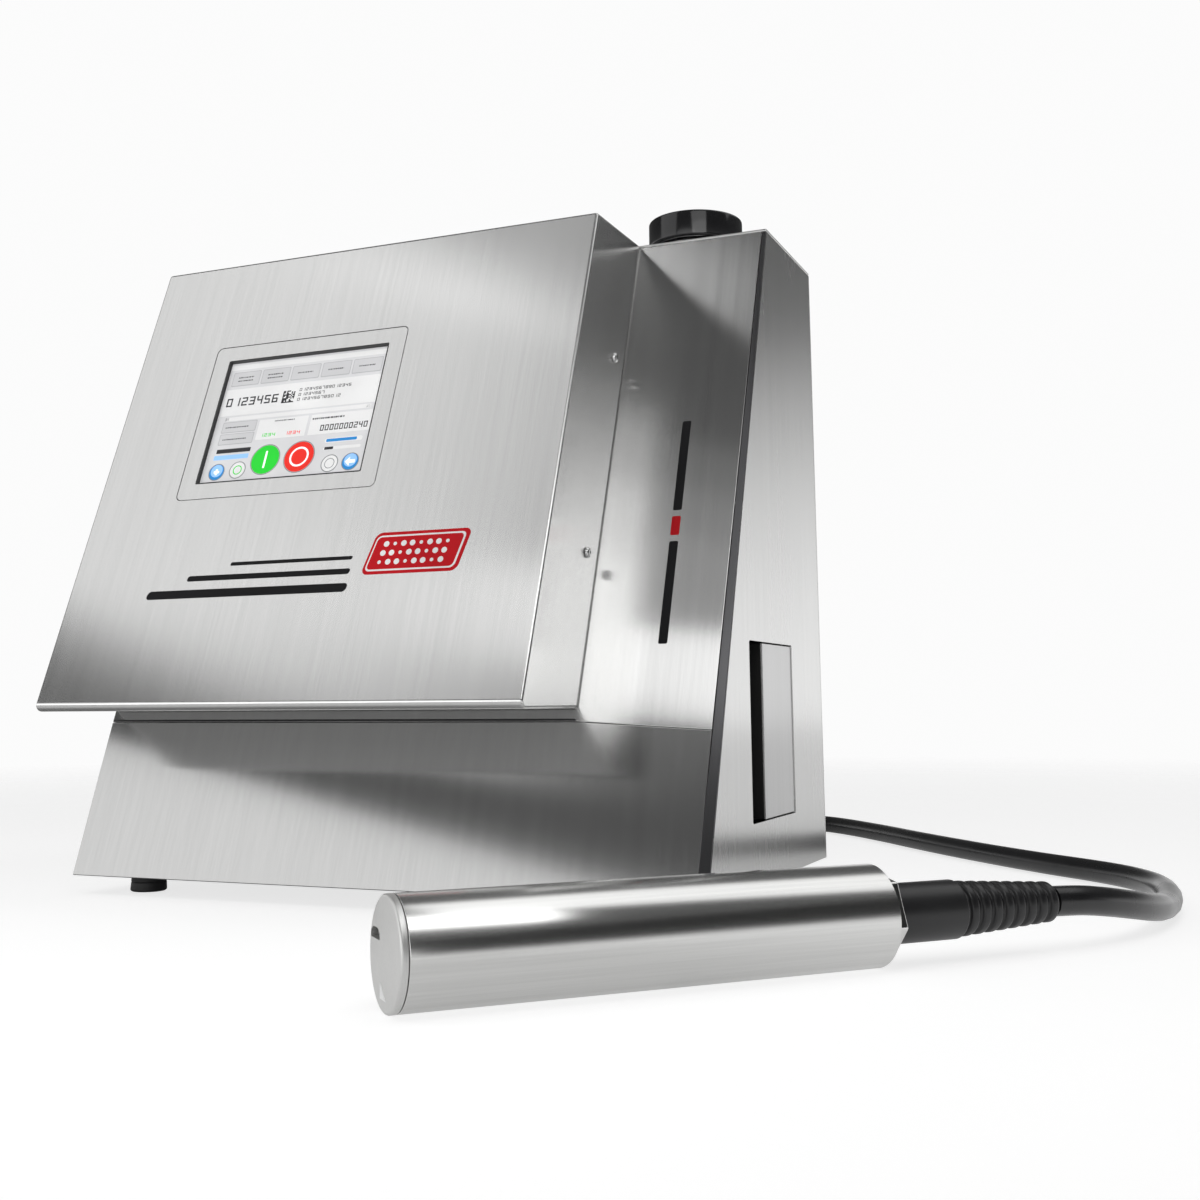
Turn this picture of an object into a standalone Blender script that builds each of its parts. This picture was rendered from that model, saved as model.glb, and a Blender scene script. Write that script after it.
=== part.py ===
"""Date code inkjet printer: a stainless cabinet with a leaning display housing, and a printhead on a cord.

Metres, +Z up, the front faces -Y. Pieces are placed in the cabinet's own frame (x = 0 at the middle of its
width, y = 0 at the middle of its depth) under one empty, which shifts them so that the origin is under the
middle of the whole machine with its printhead.
"""

import math

import bmesh
import bpy
from mathutils import Matrix, Vector

# ---------------------------------------------------------------- driving dimensions
FRAME_SHIFT = (-0.0803, 0.1031, 0.0)
GAP = 0.0003
SHEET = 0.0015

CABINET_HALF_WIDTH = 0.196
CABINET_FRONT = -0.1185
CABINET_BACK = 0.1185
CABINET_TOP = 0.392
FOOT_HEIGHT = 0.011
LEAN = math.radians(19.57)
KNEE_HEIGHT = 0.0985
KNEE_DROP = 0.0046
DRAWN_IN = 0.0030
LOWER_LEAN = math.atan(math.tan(LEAN) - DRAWN_IN / (KNEE_HEIGHT - FOOT_HEIGHT))

HOUSING_LEFT = -0.196
HOUSING_RIGHT = 0.114
HOUSING_BOTTOM = 0.1055
HOUSING_DEPTH = 0.0685
HOUSING_BEND = 0.0038

SCREEN_WIDTH = 0.1152
SCREEN_HEIGHT = 0.0868
SCREEN_OFFSET = (0.0705, 0.1417)
FRAME_BORDER = (0.0115, 0.0107)
FRAME_CORNER = 0.004

CAP_CENTRE = (0.139, 0.052)
CAP_RADIUS = 0.030
CAP_BASE = 0.0050
CAP_HEIGHT = 0.0165
NECK_RADIUS = 0.0235
NECK_BORE = 0.0190

LOUVER_Y = (-0.0386, 0.0487)
LOUVER_Z = (0.0435, 0.1413)
LOUVER_SLOT = 0.0269
LOUVER_SLANT = 0.0008
LOUVER_CORNER = 0.0014

HEAD_FRONT = (0.1486, -0.3346)
HEAD_YAW = math.radians(46.74)
HEAD_RADIUS = 0.0207
HEAD_LENGTH = 0.2064
HEAD_WALL = 0.0012
HEX_FLATS = 0.0325
HEX_LENGTH = 0.0049
SLEEVE_RADIUS = 0.0122
SLEEVE_LENGTH = 0.0352
BOOT_LENGTH = 0.051
BOOT_END_RADIUS = 0.0085
CORD_RADIUS = 0.0065

FAN_CENTRE = (0.128, 0.262)
FAN_SIZE = 0.080
FAN_DEPTH = 0.025
FAN_BLADES = 7
BLADE_PITCH = math.radians(38)
INLET_CENTRE = (-0.130, 0.060)
SWITCH_CENTRE = (-0.130, 0.112)
ROCKER_TIP = math.radians(9)
GLAND_CENTRE = (-0.072, 0.036)
PORT_CENTRE = (-0.010, 0.060)
REAR_VENT_CENTRE = (-0.060, 0.300)
PUMP_CENTRE = (-0.060, 0.205)

# ---------------------------------------------------------------- the umbilical's route, cabinet frame
CORD_ROUTE = (
    (0.3545, -0.1160, 0.0207), (0.3660, -0.1030, 0.0200), (0.3760, -0.0890, 0.0180),
    (0.3855, -0.0700, 0.0148), (0.3925, -0.0470, 0.0112), (0.3970, -0.0210, 0.0083),
    (0.3990, 0.0080, 0.0070), (0.3980, 0.0400, 0.0067), (0.3920, 0.0740, 0.0067),
    (0.3780, 0.1060, 0.0067), (0.3570, 0.1340, 0.0067), (0.3200, 0.1720, 0.0067),
    (0.2760, 0.2230, 0.0067), (0.2320, 0.2790, 0.0067), (0.1860, 0.3420, 0.0067),
    (0.1500, 0.3870, 0.0067), (0.1230, 0.4130, 0.0067), (0.0960, 0.4250, 0.0067),
    (0.0720, 0.4285, 0.0067), (0.0500, 0.4265, 0.0067),
)
TAIL_ROUTE = (
    (-0.0870, 0.3000, 0.0230), (-0.0880, 0.2750, 0.0160), (-0.0850, 0.2500, 0.0105),
    (-0.0800, 0.2250, 0.0085), (-0.0750, 0.2050, 0.0110), (-0.0725, 0.1880, 0.0190),
    (-0.0720, 0.1720, 0.0285), (-0.0720, 0.1560, 0.0345), (-0.0720, 0.1435, 0.0360),
)
COIL_CENTRE = (0.0, 0.345)
COIL_RADIUS = 0.072
COIL_HEIGHT = 0.040


def clear_scene():
    for old in list(bpy.data.objects):
        bpy.data.objects.remove(old, do_unlink=True)


clear_scene()
PARTS = bpy.data.collections.new("date_code_printer")
CUTTERS = bpy.data.collections.new("cutters")
bpy.context.scene.collection.children.link(PARTS)
bpy.context.scene.collection.children.link(CUTTERS)


# ---------------------------------------------------------------- materials
def material(name, colour, roughness, metallic=0.0):
    made = bpy.data.materials.new(name)
    made.use_nodes = True
    shader = made.node_tree.nodes["Principled BSDF"]
    shader.inputs["Base Color"].default_value = (*colour, 1.0)
    shader.inputs["Roughness"].default_value = roughness
    shader.inputs["Metallic"].default_value = metallic
    return made


STEEL = material("brushed_steel", (0.62, 0.62, 0.61), 0.28, 1.0)
DARK_STEEL = material("dark_steel", (0.16, 0.16, 0.165), 0.35, 1.0)
ZINC = material("zinc_plate", (0.52, 0.53, 0.54), 0.45, 1.0)
BLACK_RUBBER = material("black_rubber", (0.02, 0.02, 0.022), 0.55)
BLACK_PLASTIC = material("black_plastic", (0.025, 0.025, 0.027), 0.35)
CAP_PLASTIC = material("cap_plastic", (0.018, 0.018, 0.02), 0.12)
NATURAL_PLASTIC = material("tank_plastic", (0.78, 0.79, 0.75), 0.4)
GLASS = material("screen_glass", (0.30, 0.32, 0.35), 0.08)
BOARD_GREEN = material("board_green", (0.03, 0.20, 0.09), 0.4)
BRASS = material("brass", (0.72, 0.52, 0.22), 0.3, 1.0)
CERAMIC = material("ceramic", (0.86, 0.85, 0.82), 0.3)


# ---------------------------------------------------------------- helpers
FRAME = bpy.data.objects.new("printer_frame", None)
FRAME.location = FRAME_SHIFT
PARTS.objects.link(FRAME)


def add(name, mesh, surface, parent=None, cutter=False):
    """An object of this mesh in the parts' collection, or in the cutters'."""
    made = bpy.data.objects.new(name, mesh)
    (CUTTERS if cutter else PARTS).objects.link(made)
    made.parent = parent or FRAME
    if surface:
        made.data.materials.append(surface)
    if cutter:
        made.hide_render = True
        made.display_type = "WIRE"
    return made


def bevel(made, width, segments=2, angle=40):
    step = made.modifiers.new("bevel", "BEVEL")
    step.width = width
    step.segments = segments
    step.limit_method = "ANGLE"
    step.angle_limit = math.radians(angle)


def cut(made, cutter, operation="DIFFERENCE"):
    step = made.modifiers.new("cut", "BOOLEAN")
    step.operation = operation
    step.object = cutter
    step.solver = "EXACT"


def box(name, low, high, surface=None, edge=0.0, parent=None, cutter=False):
    """A box between two corners, its origin at its middle."""
    low, high = Vector(low), Vector(high)
    shape = bmesh.new()
    bmesh.ops.create_cube(shape, size=1.0)
    bmesh.ops.scale(shape, vec=high - low, verts=shape.verts)
    mesh = bpy.data.meshes.new(name)
    shape.to_mesh(mesh)
    shape.free()
    made = add(name, mesh, surface, parent, cutter)
    made.location = (low + high) / 2
    if edge:
        bevel(made, edge)
    return made


TURN_FROM_Z = {
    "x": Matrix.Rotation(math.radians(90), 4, "Y"),
    "y": Matrix.Rotation(math.radians(-90), 4, "X"),
    "z": Matrix.Identity(4),
}


def rod(name, centre, radius, length, axis="z", surface=None, sides=24, edge=0.0, parent=None, cutter=False):
    """A cylinder of this length about an axis through its centre."""
    shape = bmesh.new()
    bmesh.ops.create_cone(
        shape, cap_ends=True, segments=sides, radius1=radius, radius2=radius, depth=length,
        matrix=TURN_FROM_Z[axis],
    )
    mesh = bpy.data.meshes.new(name)
    shape.to_mesh(mesh)
    shape.free()
    made = add(name, mesh, surface, parent, cutter)
    made.location = centre
    if edge:
        bevel(made, edge)
    made.data.shade_smooth()
    made.data.set_sharp_from_angle(angle=math.radians(35))
    return made


def turned(name, profile, surface, steps=32, parent=None, cutter=False):
    """A closed (radius, height) outline turned about Z. The outline runs down its outer side."""
    mesh = bpy.data.meshes.new(name)
    shape = bmesh.new()
    corners = [shape.verts.new((radius, 0.0, height)) for radius, height in profile]
    for first, second in zip(corners, corners[1:] + corners[:1]):
        shape.edges.new((first, second))
    shape.to_mesh(mesh)
    shape.free()
    made = add(name, mesh, surface, parent, cutter)
    step = made.modifiers.new("turn", "SCREW")
    step.axis = "Z"
    step.steps = steps
    step.render_steps = steps
    step.use_merge_vertices = True
    step.merge_threshold = 0.00005
    step.use_smooth_shade = True
    return made


def outline(name, loops, thickness, surface, parent=None, cutter=False, matrix=None):
    """A flat plate: its outline and then its holes in the XY plane, with its thickness along Z."""
    curve = bpy.data.curves.new(name, "CURVE")
    curve.dimensions = "2D"
    curve.fill_mode = "BOTH"
    curve.extrude = thickness / 2
    for points in loops:
        spline = curve.splines.new("POLY")
        spline.points.add(len(points) - 1)
        for place, (across, along) in zip(spline.points, points):
            place.co = (across, along, 0.0, 1.0)
        spline.use_cyclic_u = True
    source = bpy.data.objects.new(name + "_outline", curve)
    CUTTERS.objects.link(source)
    graph = bpy.context.evaluated_depsgraph_get()
    mesh = bpy.data.meshes.new_from_object(source.evaluated_get(graph))
    bpy.data.objects.remove(source, do_unlink=True)
    shape = bmesh.new()
    shape.from_mesh(mesh)
    bmesh.ops.remove_doubles(shape, verts=shape.verts, dist=0.00001)
    if matrix:
        bmesh.ops.transform(shape, matrix=matrix, verts=shape.verts)
    bmesh.ops.recalc_face_normals(shape, faces=shape.faces)
    shape.to_mesh(mesh)
    shape.free()
    mesh.materials.clear()
    return add(name, mesh, surface, parent, cutter)


def rectangle(low, high, corner=0.0, points=4):
    """The corners of a rectangle, rounded with arcs where a corner radius is given."""
    if not corner:
        return [(low[0], low[1]), (high[0], low[1]), (high[0], high[1]), (low[0], high[1])]
    made = []
    centres = (
        (high[0] - corner, low[1] + corner, -90), (high[0] - corner, high[1] - corner, 0),
        (low[0] + corner, high[1] - corner, 90), (low[0] + corner, low[1] + corner, 180),
    )
    for across, along, start in centres:
        for step in range(points + 1):
            turn = math.radians(start + 90 * step / points)
            made.append((across + corner * math.cos(turn), along + corner * math.sin(turn)))
    return made


# The plane of a sheet whose outline is drawn as (y, z), with its thickness along X.
SIDE_PLANE = Matrix(((0, 0, 1, 0), (1, 0, 0, 0), (0, 1, 0, 0), (0, 0, 0, 1)))


def front_at(height):
    """The y of the cabinet's leaning front at this height."""
    return CABINET_FRONT + (height - FOOT_HEIGHT) * math.tan(LEAN)


def leaning_plane(place, lean=LEAN):
    """A plane here that leans back: outline (x, up the slope), thickness along its outward normal."""
    return Matrix.Translation(place) @ Matrix.Rotation(math.radians(90) - lean, 4, "X")


def smooth_points(route, spacing):
    """Points at about this spacing on a smooth curve through the route's points."""
    points = [Vector(point) for point in route]
    padded = [2 * points[0] - points[1]] + points + [2 * points[-1] - points[-2]]
    dense = []
    for index in range(1, len(padded) - 2):
        before, start, end, after = padded[index - 1:index + 3]
        for step in range(16):
            t = step / 16
            dense.append(
                0.5 * (2 * start + (end - before) * t + (2 * before - 5 * start + 4 * end - after) * t ** 2
                       + (3 * start - before - 3 * end + after) * t ** 3)
            )
    dense.append(points[-1])
    total = sum((second - first).length for first, second in zip(dense, dense[1:]))
    count = max(2, round(total / spacing))
    made, walked, target = [dense[0]], 0.0, total / count
    for first, second in zip(dense, dense[1:]):
        run = (second - first).length
        while run and walked + run >= target - 1e-9 and len(made) < count:
            made.append(first.lerp(second, (target - walked) / run))
            target += total / count
        walked += run
    return made + [dense[-1]]


def tube(name, route, radius, surface, spacing):
    curve = bpy.data.curves.new(name, "CURVE")
    curve.dimensions = "3D"
    curve.bevel_depth = radius
    curve.bevel_resolution = 2
    curve.use_fill_caps = True
    points = smooth_points(route, spacing)
    spline = curve.splines.new("POLY")
    spline.points.add(len(points) - 1)
    for place, point in zip(spline.points, points):
        place.co = (*point, 1.0)
    made = bpy.data.objects.new(name, curve)
    PARTS.objects.link(made)
    made.parent = FRAME
    made.data.materials.append(surface)
    return made


# ---------------------------------------------------------------- cabinet shell
def side_panels():
    """Flat side sheets, one sheet behind the front ones. The right one has the intake's opening."""
    front_set_in = (SHEET + GAP) / math.cos(LEAN)
    low, high = FOOT_HEIGHT, CABINET_TOP - SHEET - GAP
    edge = [
        (front_at(low) + front_set_in, low), (CABINET_BACK - SHEET - GAP, low),
        (CABINET_BACK - SHEET - GAP, high), (front_at(high) + front_set_in, high),
    ]
    drawn_in_edge = [
        (front_at(low) + DRAWN_IN + front_set_in, low), *edge[1:],
        (front_at(KNEE_HEIGHT) + front_set_in, KNEE_HEIGHT),
    ]
    intake = rectangle((LOUVER_Y[0], LOUVER_Z[0]), (LOUVER_Y[1], LOUVER_Z[1]), LOUVER_CORNER, 2)
    for name, place, loops in (
        ("left_side_panel", -CABINET_HALF_WIDTH + SHEET / 2, [drawn_in_edge]),
        ("right_side_panel", CABINET_HALF_WIDTH - SHEET / 2, [edge, intake]),
    ):
        outline(name, loops, SHEET, STEEL, matrix=Matrix.Translation((place, 0, 0)) @ SIDE_PLANE)


def knee_at(across):
    """The height of the fold line between the two front sheets at this x."""
    share = max(0.0, across - HOUSING_RIGHT) / (CABINET_HALF_WIDTH - HOUSING_RIGHT)
    return KNEE_HEIGHT - KNEE_DROP * share


def trim_edge(height):
    """The x where the dark trim down the right corner begins: it is a narrow wedge, wider at its foot."""
    share = (height - FOOT_HEIGHT) / (CABINET_TOP - FOOT_HEIGHT)
    return CABINET_HALF_WIDTH - 0.0062 + 0.0038 * share


def front_sheets():
    """Two leaning sheets meet at the knee, the lower one drawn in at its foot, and a trim on the right edge."""
    slope = math.cos(LEAN)
    foot = Vector((0, CABINET_FRONT, FOOT_HEIGHT))
    place = leaning_plane(foot) @ Matrix.Translation((0, 0, -SHEET / 2))

    def up(height):
        return (height - FOOT_HEIGHT) / slope

    left = -CABINET_HALF_WIDTH
    top = CABINET_TOP - SHEET - GAP
    gap = GAP / 2
    harness_hole = rectangle((-0.065, up(0.22)), (-0.015, up(0.25)), 0.006, 2)
    outline(
        "front_upper_sheet",
        [
            [
                (left, up(knee_at(left)) + gap), (HOUSING_RIGHT, up(knee_at(HOUSING_RIGHT)) + gap),
                (trim_edge(knee_at(0.19)) - gap, up(knee_at(0.19)) + gap), (trim_edge(top) - gap, up(top)),
                (left, up(top)),
            ],
            harness_hole,
        ],
        SHEET, STEEL, matrix=place,
    )
    lower_slope = math.cos(LOWER_LEAN)
    lower_foot = foot + Vector((0, DRAWN_IN, 0))
    lower_place = leaning_plane(lower_foot, LOWER_LEAN) @ Matrix.Translation((0, 0, -SHEET / 2))

    def lower_up(height):
        return (height - FOOT_HEIGHT) / lower_slope

    outline(
        "front_lower_sheet",
        [[
            (left, 0.0), (trim_edge(FOOT_HEIGHT) - gap, 0.0),
            (trim_edge(knee_at(0.19)) - gap, lower_up(knee_at(0.19)) - gap),
            (HOUSING_RIGHT, lower_up(knee_at(HOUSING_RIGHT)) - gap), (left, lower_up(knee_at(left)) - gap),
        ]],
        SHEET, STEEL, matrix=lower_place,
    )
    outline(
        "corner_trim",
        [[
            (trim_edge(FOOT_HEIGHT) + gap, 0.0), (CABINET_HALF_WIDTH, 0.0),
            (CABINET_HALF_WIDTH, up(top)), (trim_edge(top) + gap, up(top)),
        ]],
        SHEET, DARK_STEEL, matrix=place,
    )


def top_and_base():
    top = box(
        "top_plate",
        (-CABINET_HALF_WIDTH, front_at(CABINET_TOP), CABINET_TOP - SHEET),
        (CABINET_HALF_WIDTH, CABINET_BACK, CABINET_TOP), STEEL,
    )
    cut(top, rod(
        "neck_hole", (*CAP_CENTRE, CABINET_TOP), NECK_RADIUS + GAP, 0.01, sides=32, cutter=True,
    ))
    base_top = FOOT_HEIGHT + SHEET
    inner = CABINET_HALF_WIDTH - SHEET - GAP
    set_in = (SHEET + GAP) / math.cos(LEAN)
    box(
        "base_tray", (-inner, front_at(base_top) + DRAWN_IN + set_in, FOOT_HEIGHT),
        (inner, CABINET_BACK - SHEET - GAP, base_top), ZINC,
    )
    feet = (("left", -0.164), ("right", 0.164))
    rows = (("front", -0.0865), ("rear", 0.0935))
    for side, across in feet:
        for row, along in rows:
            turned_foot(f"foot_{row}_{side}", across, along)


def turned_foot(name, across, along):
    height = FOOT_HEIGHT - GAP
    made = turned(
        name,
        [(0.0, height), (0.0095, height), (0.0100, height - 0.0015), (0.0105, 0.0010),
         (0.0098, 0.0), (0.0, 0.0)],
        BLACK_RUBBER, steps=20,
    )
    made.location = (across, along, 0.0)


def rear_panel():
    """The rear sheet, with slots for the fan and the vent and holes for what is fitted in it."""
    low, high = CABINET_BACK - SHEET, CABINET_BACK
    panel = box(
        "rear_panel", (-CABINET_HALF_WIDTH, low, FOOT_HEIGHT),
        (CABINET_HALF_WIDTH, high, CABINET_TOP - SHEET - GAP), STEEL,
    )
    middle = (low + high) / 2
    slots = 7
    pitch = 0.0105
    for index in range(slots):
        across = FAN_CENTRE[0] + (index - (slots - 1) / 2) * pitch
        reach = math.sqrt(max(0.0, 0.036 ** 2 - (across - FAN_CENTRE[0]) ** 2))
        cut(panel, box(
            f"fan_slot_{index}", (across - 0.0032, low - 0.01, FAN_CENTRE[1] - reach),
            (across + 0.0032, high + 0.01, FAN_CENTRE[1] + reach), cutter=True,
        ))
    for index in range(6):
        height = REAR_VENT_CENTRE[1] + (index - 2.5) * 0.012
        cut(panel, box(
            f"vent_slot_{index}", (REAR_VENT_CENTRE[0] - 0.05, low - 0.01, height - 0.0025),
            (REAR_VENT_CENTRE[0] + 0.05, high + 0.01, height + 0.0025), cutter=True,
        ))
    cut(panel, box(
        "inlet_hole", (INLET_CENTRE[0] - 0.0140, low - 0.01, INLET_CENTRE[1] - 0.0105),
        (INLET_CENTRE[0] + 0.0140, high + 0.01, INLET_CENTRE[1] + 0.0190), cutter=True,
    ))
    cut(panel, box(
        "switch_hole", (SWITCH_CENTRE[0] - 0.0100, low - 0.01, SWITCH_CENTRE[1] - 0.0140),
        (SWITCH_CENTRE[0] + 0.0100, high + 0.01, SWITCH_CENTRE[1] + 0.0140), cutter=True,
    ))
    cut(panel, rod(
        "gland_hole", (GLAND_CENTRE[0], middle, GLAND_CENTRE[1]), 0.0103, 0.02, "y", cutter=True,
    ))
    cut(panel, rod(
        "port_hole", (PORT_CENTRE[0], middle, PORT_CENTRE[1]), 0.0073, 0.02, "y", cutter=True,
    ))


def air_intake():
    """A slanted plate fills the side opening but for a slot at its front, with a filter mat behind."""
    inside = CABINET_HALF_WIDTH
    start = LOUVER_Y[0] + LOUVER_SLOT
    face = inside - 0.0006
    end = LOUVER_Y[1] - 0.0006
    plate = [
        (face, start), (inside - LOUVER_SLANT, end), (inside - LOUVER_SLANT - SHEET, end),
        (face - 2 * SHEET, start + SHEET), (inside - 0.0120, start + SHEET), (inside - 0.0120, start),
    ]
    height = LOUVER_Z[1] - LOUVER_Z[0] - 0.0012
    outline(
        "intake_louver", [plate], height, STEEL,
        matrix=Matrix.Translation((0, 0, (LOUVER_Z[0] + LOUVER_Z[1]) / 2)),
    )
    box(
        "intake_filter", (inside - 0.0200, LOUVER_Y[0] - 0.006, LOUVER_Z[0] - 0.006),
        (inside - 0.0135, LOUVER_Y[1] + 0.006, LOUVER_Z[1] + 0.006), BLACK_RUBBER, edge=0.001,
    )


# ---------------------------------------------------------------- display housing
def housing_profile(inset, open_back):
    """The housing's section as (y, z): a leaning front with a bent lower edge, level top and bottom."""
    bottom, top = HOUSING_BOTTOM + inset, CABINET_TOP - inset
    slant = inset / math.cos(LEAN)
    back = GAP / math.cos(LEAN)

    def face(height):
        return front_at(height) - HOUSING_DEPTH + slant

    radius = max(HOUSING_BEND - inset, 0.002)
    corner = Vector((face(bottom), bottom))
    inner_angle = math.radians(90) - LEAN
    reach = radius / math.tan(inner_angle / 2)
    up_face = Vector((math.sin(LEAN), math.cos(LEAN)))
    start = corner + up_face * reach
    centre = start + Vector((math.cos(LEAN), -math.sin(LEAN))) * radius
    points = []
    for step in range(7):
        turn = math.radians(180) - LEAN + (math.radians(90) + LEAN) * step / 6
        points.append((centre.x + radius * math.cos(turn), centre.y + radius * math.sin(turn)))
    reach_back = 0.02 if open_back else -back
    points += [
        (front_at(bottom) + reach_back, bottom), (front_at(top) + reach_back, top), (face(top), top),
    ]
    return points


def display_housing():
    """The shell that carries the display: a bent sheet box, open at the back, with a window in its front."""
    width = HOUSING_RIGHT - HOUSING_LEFT
    middle = (HOUSING_RIGHT + HOUSING_LEFT) / 2
    place = Matrix.Translation((middle, 0, 0)) @ SIDE_PLANE
    shell = outline("display_housing", [housing_profile(0.0, False)], width, STEEL, matrix=place)
    inside = outline(
        "housing_inside", [housing_profile(SHEET, True)], width - 2 * SHEET, None, cutter=True, matrix=place,
    )
    cut(shell, inside)
    window = outline(
        "housing_window",
        [rectangle(
            (-SCREEN_WIDTH / 2 - FRAME_BORDER[0], -SCREEN_HEIGHT / 2 - FRAME_BORDER[1]),
            (SCREEN_WIDTH / 2 + FRAME_BORDER[0], SCREEN_HEIGHT / 2 + FRAME_BORDER[1]), FRAME_CORNER,
        )],
        0.01, None, cutter=True, matrix=screen_plane(0.0),
    )
    cut(shell, window)


def screen_plane(depth):
    """The plane of the screen, its middle at the origin, this far behind the housing's front."""
    foot = Vector((HOUSING_LEFT, front_at(HOUSING_BOTTOM) - HOUSING_DEPTH, HOUSING_BOTTOM))
    across = SCREEN_OFFSET[0] + SCREEN_WIDTH / 2
    along = SCREEN_OFFSET[1] + SCREEN_HEIGHT / 2
    place = foot + Vector((across, along * math.sin(LEAN), along * math.cos(LEAN)))
    inward = Vector((0, math.cos(LEAN), -math.sin(LEAN)))
    return leaning_plane(place + inward * depth)


def display_stack():
    """The frame set in the window, the touch glass, the panel and the control board."""
    gap = 0.0004
    half = (SCREEN_WIDTH / 2 + FRAME_BORDER[0] - gap, SCREEN_HEIGHT / 2 + FRAME_BORDER[1] - gap)
    glass = (SCREEN_WIDTH / 2, SCREEN_HEIGHT / 2)
    outline(
        "display_frame",
        [rectangle((-half[0], -half[1]), half, FRAME_CORNER - gap),
         rectangle((-glass[0], -glass[1]), glass, 0.0012, 2)],
        0.0024, STEEL, matrix=screen_plane(0.0012),
    )
    clear = (glass[0] - gap, glass[1] - gap)
    outline(
        "touch_glass", [rectangle((-clear[0], -clear[1]), clear, 0.001, 2)], 0.0011, GLASS,
        matrix=screen_plane(0.00185),
    )
    outline(
        "display_panel", [rectangle((-0.0625, -0.0500), (0.0625, 0.0500))], 0.0080, ZINC,
        matrix=screen_plane(0.0070),
    )
    outline(
        "control_board", [rectangle((-0.0700, -0.0600), (0.0700, 0.0550))], 0.0016, BOARD_GREEN,
        matrix=screen_plane(0.0240),
    )


def housing_flanges():
    """Angle strips on the cabinet's front: the housing slips over them and four screws hold it."""
    rise = (0.150, 0.340)
    for side, wall, turn in (("left", HOUSING_LEFT, 1), ("right", HOUSING_RIGHT, -1)):
        near = wall + turn * (SHEET + GAP)
        middle = near + turn * 0.0010
        profile = []
        for height, depth in ((rise[0], 0.0285), (rise[0], 0.0), (rise[1], 0.0), (rise[1], 0.0285)):
            profile.append((front_at(height) - depth - GAP / math.cos(LEAN), height))
        flange = outline(
            f"housing_flange_{side}", [profile], 0.0020, ZINC,
            matrix=Matrix.Translation((middle, 0, 0)) @ SIDE_PLANE,
        )
        for label, height in (("upper", 0.3095), ("lower", 0.1900)):
            screw_y = front_at(height) - 0.0162
            cut(flange, rod(
                f"flange_hole_{side}_{label}", (middle, screw_y, height), 0.0018, 0.01, "x",
                sides=16, cutter=True,
            ))
            screw(f"housing_screw_{side}_{label}", (wall - turn * GAP, screw_y, height), -turn)


def screw(name, place, outward):
    """A pan-head screw along X: head outside the sheet, shank through it."""
    made = turned(
        name,
        [(0.0, 0.0019), (0.0016, 0.0019), (0.0026, 0.0013), (0.0030, 0.0), (0.0014, 0.0), (0.0014, -0.0070),
         (0.0, -0.0070)],
        STEEL, steps=16,
    )
    made.location = place
    made.rotation_euler = (0.0, math.radians(90) * outward, 0.0)


def screw_clearance_holes():
    """Holes in the housing's sides for the four screws."""
    shell = bpy.data.objects["display_housing"]
    for side, wall in (("left", HOUSING_LEFT), ("right", HOUSING_RIGHT)):
        for label, height in (("upper", 0.3095), ("lower", 0.1900)):
            screw_y = front_at(height) - 0.0162
            cut(shell, rod(
                f"housing_hole_{side}_{label}", (wall, screw_y, height), 0.0018, 0.01, "x",
                sides=16, cutter=True,
            ))


# ---------------------------------------------------------------- filler cap
def filler():
    """Neck, gasket and screw cap. The cap and its gasket have their origins on the cap's axis."""
    top = CABINET_TOP
    neck_top = CAP_BASE + 0.0105
    neck = turned(
        "filler_neck",
        [(NECK_BORE, neck_top), (NECK_RADIUS, neck_top), (NECK_RADIUS, 0.0033), (0.0268, 0.0033),
         (0.0268, GAP), (NECK_RADIUS, GAP), (NECK_RADIUS, -0.0280), (NECK_BORE, -0.0280)],
        STEEL, steps=32,
    )
    neck.location = (*CAP_CENTRE, top)
    gasket = turned(
        "cap_gasket",
        [(0.0195, 0.0022), (0.0245, 0.0022), (0.0245, 0.0), (0.0195, 0.0)],
        BLACK_RUBBER, steps=32,
    )
    gasket.location = (*CAP_CENTRE, top + neck_top + GAP)
    lid = neck_top + 0.0022 + 2 * GAP
    inner = 0.0255
    cap_top = CAP_BASE + CAP_HEIGHT
    cap = turned(
        "filler_cap",
        [(0.0, cap_top), (CAP_RADIUS - 0.0018, cap_top), (CAP_RADIUS - 0.0004, cap_top - 0.0006),
         (CAP_RADIUS, cap_top - 0.0018), (CAP_RADIUS, CAP_BASE + 0.0008), (CAP_RADIUS - 0.0008, CAP_BASE),
         (inner, CAP_BASE), (inner, lid), (0.0, lid)],
        CAP_PLASTIC, steps=36,
    )
    cap.location = (*CAP_CENTRE, top)


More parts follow.
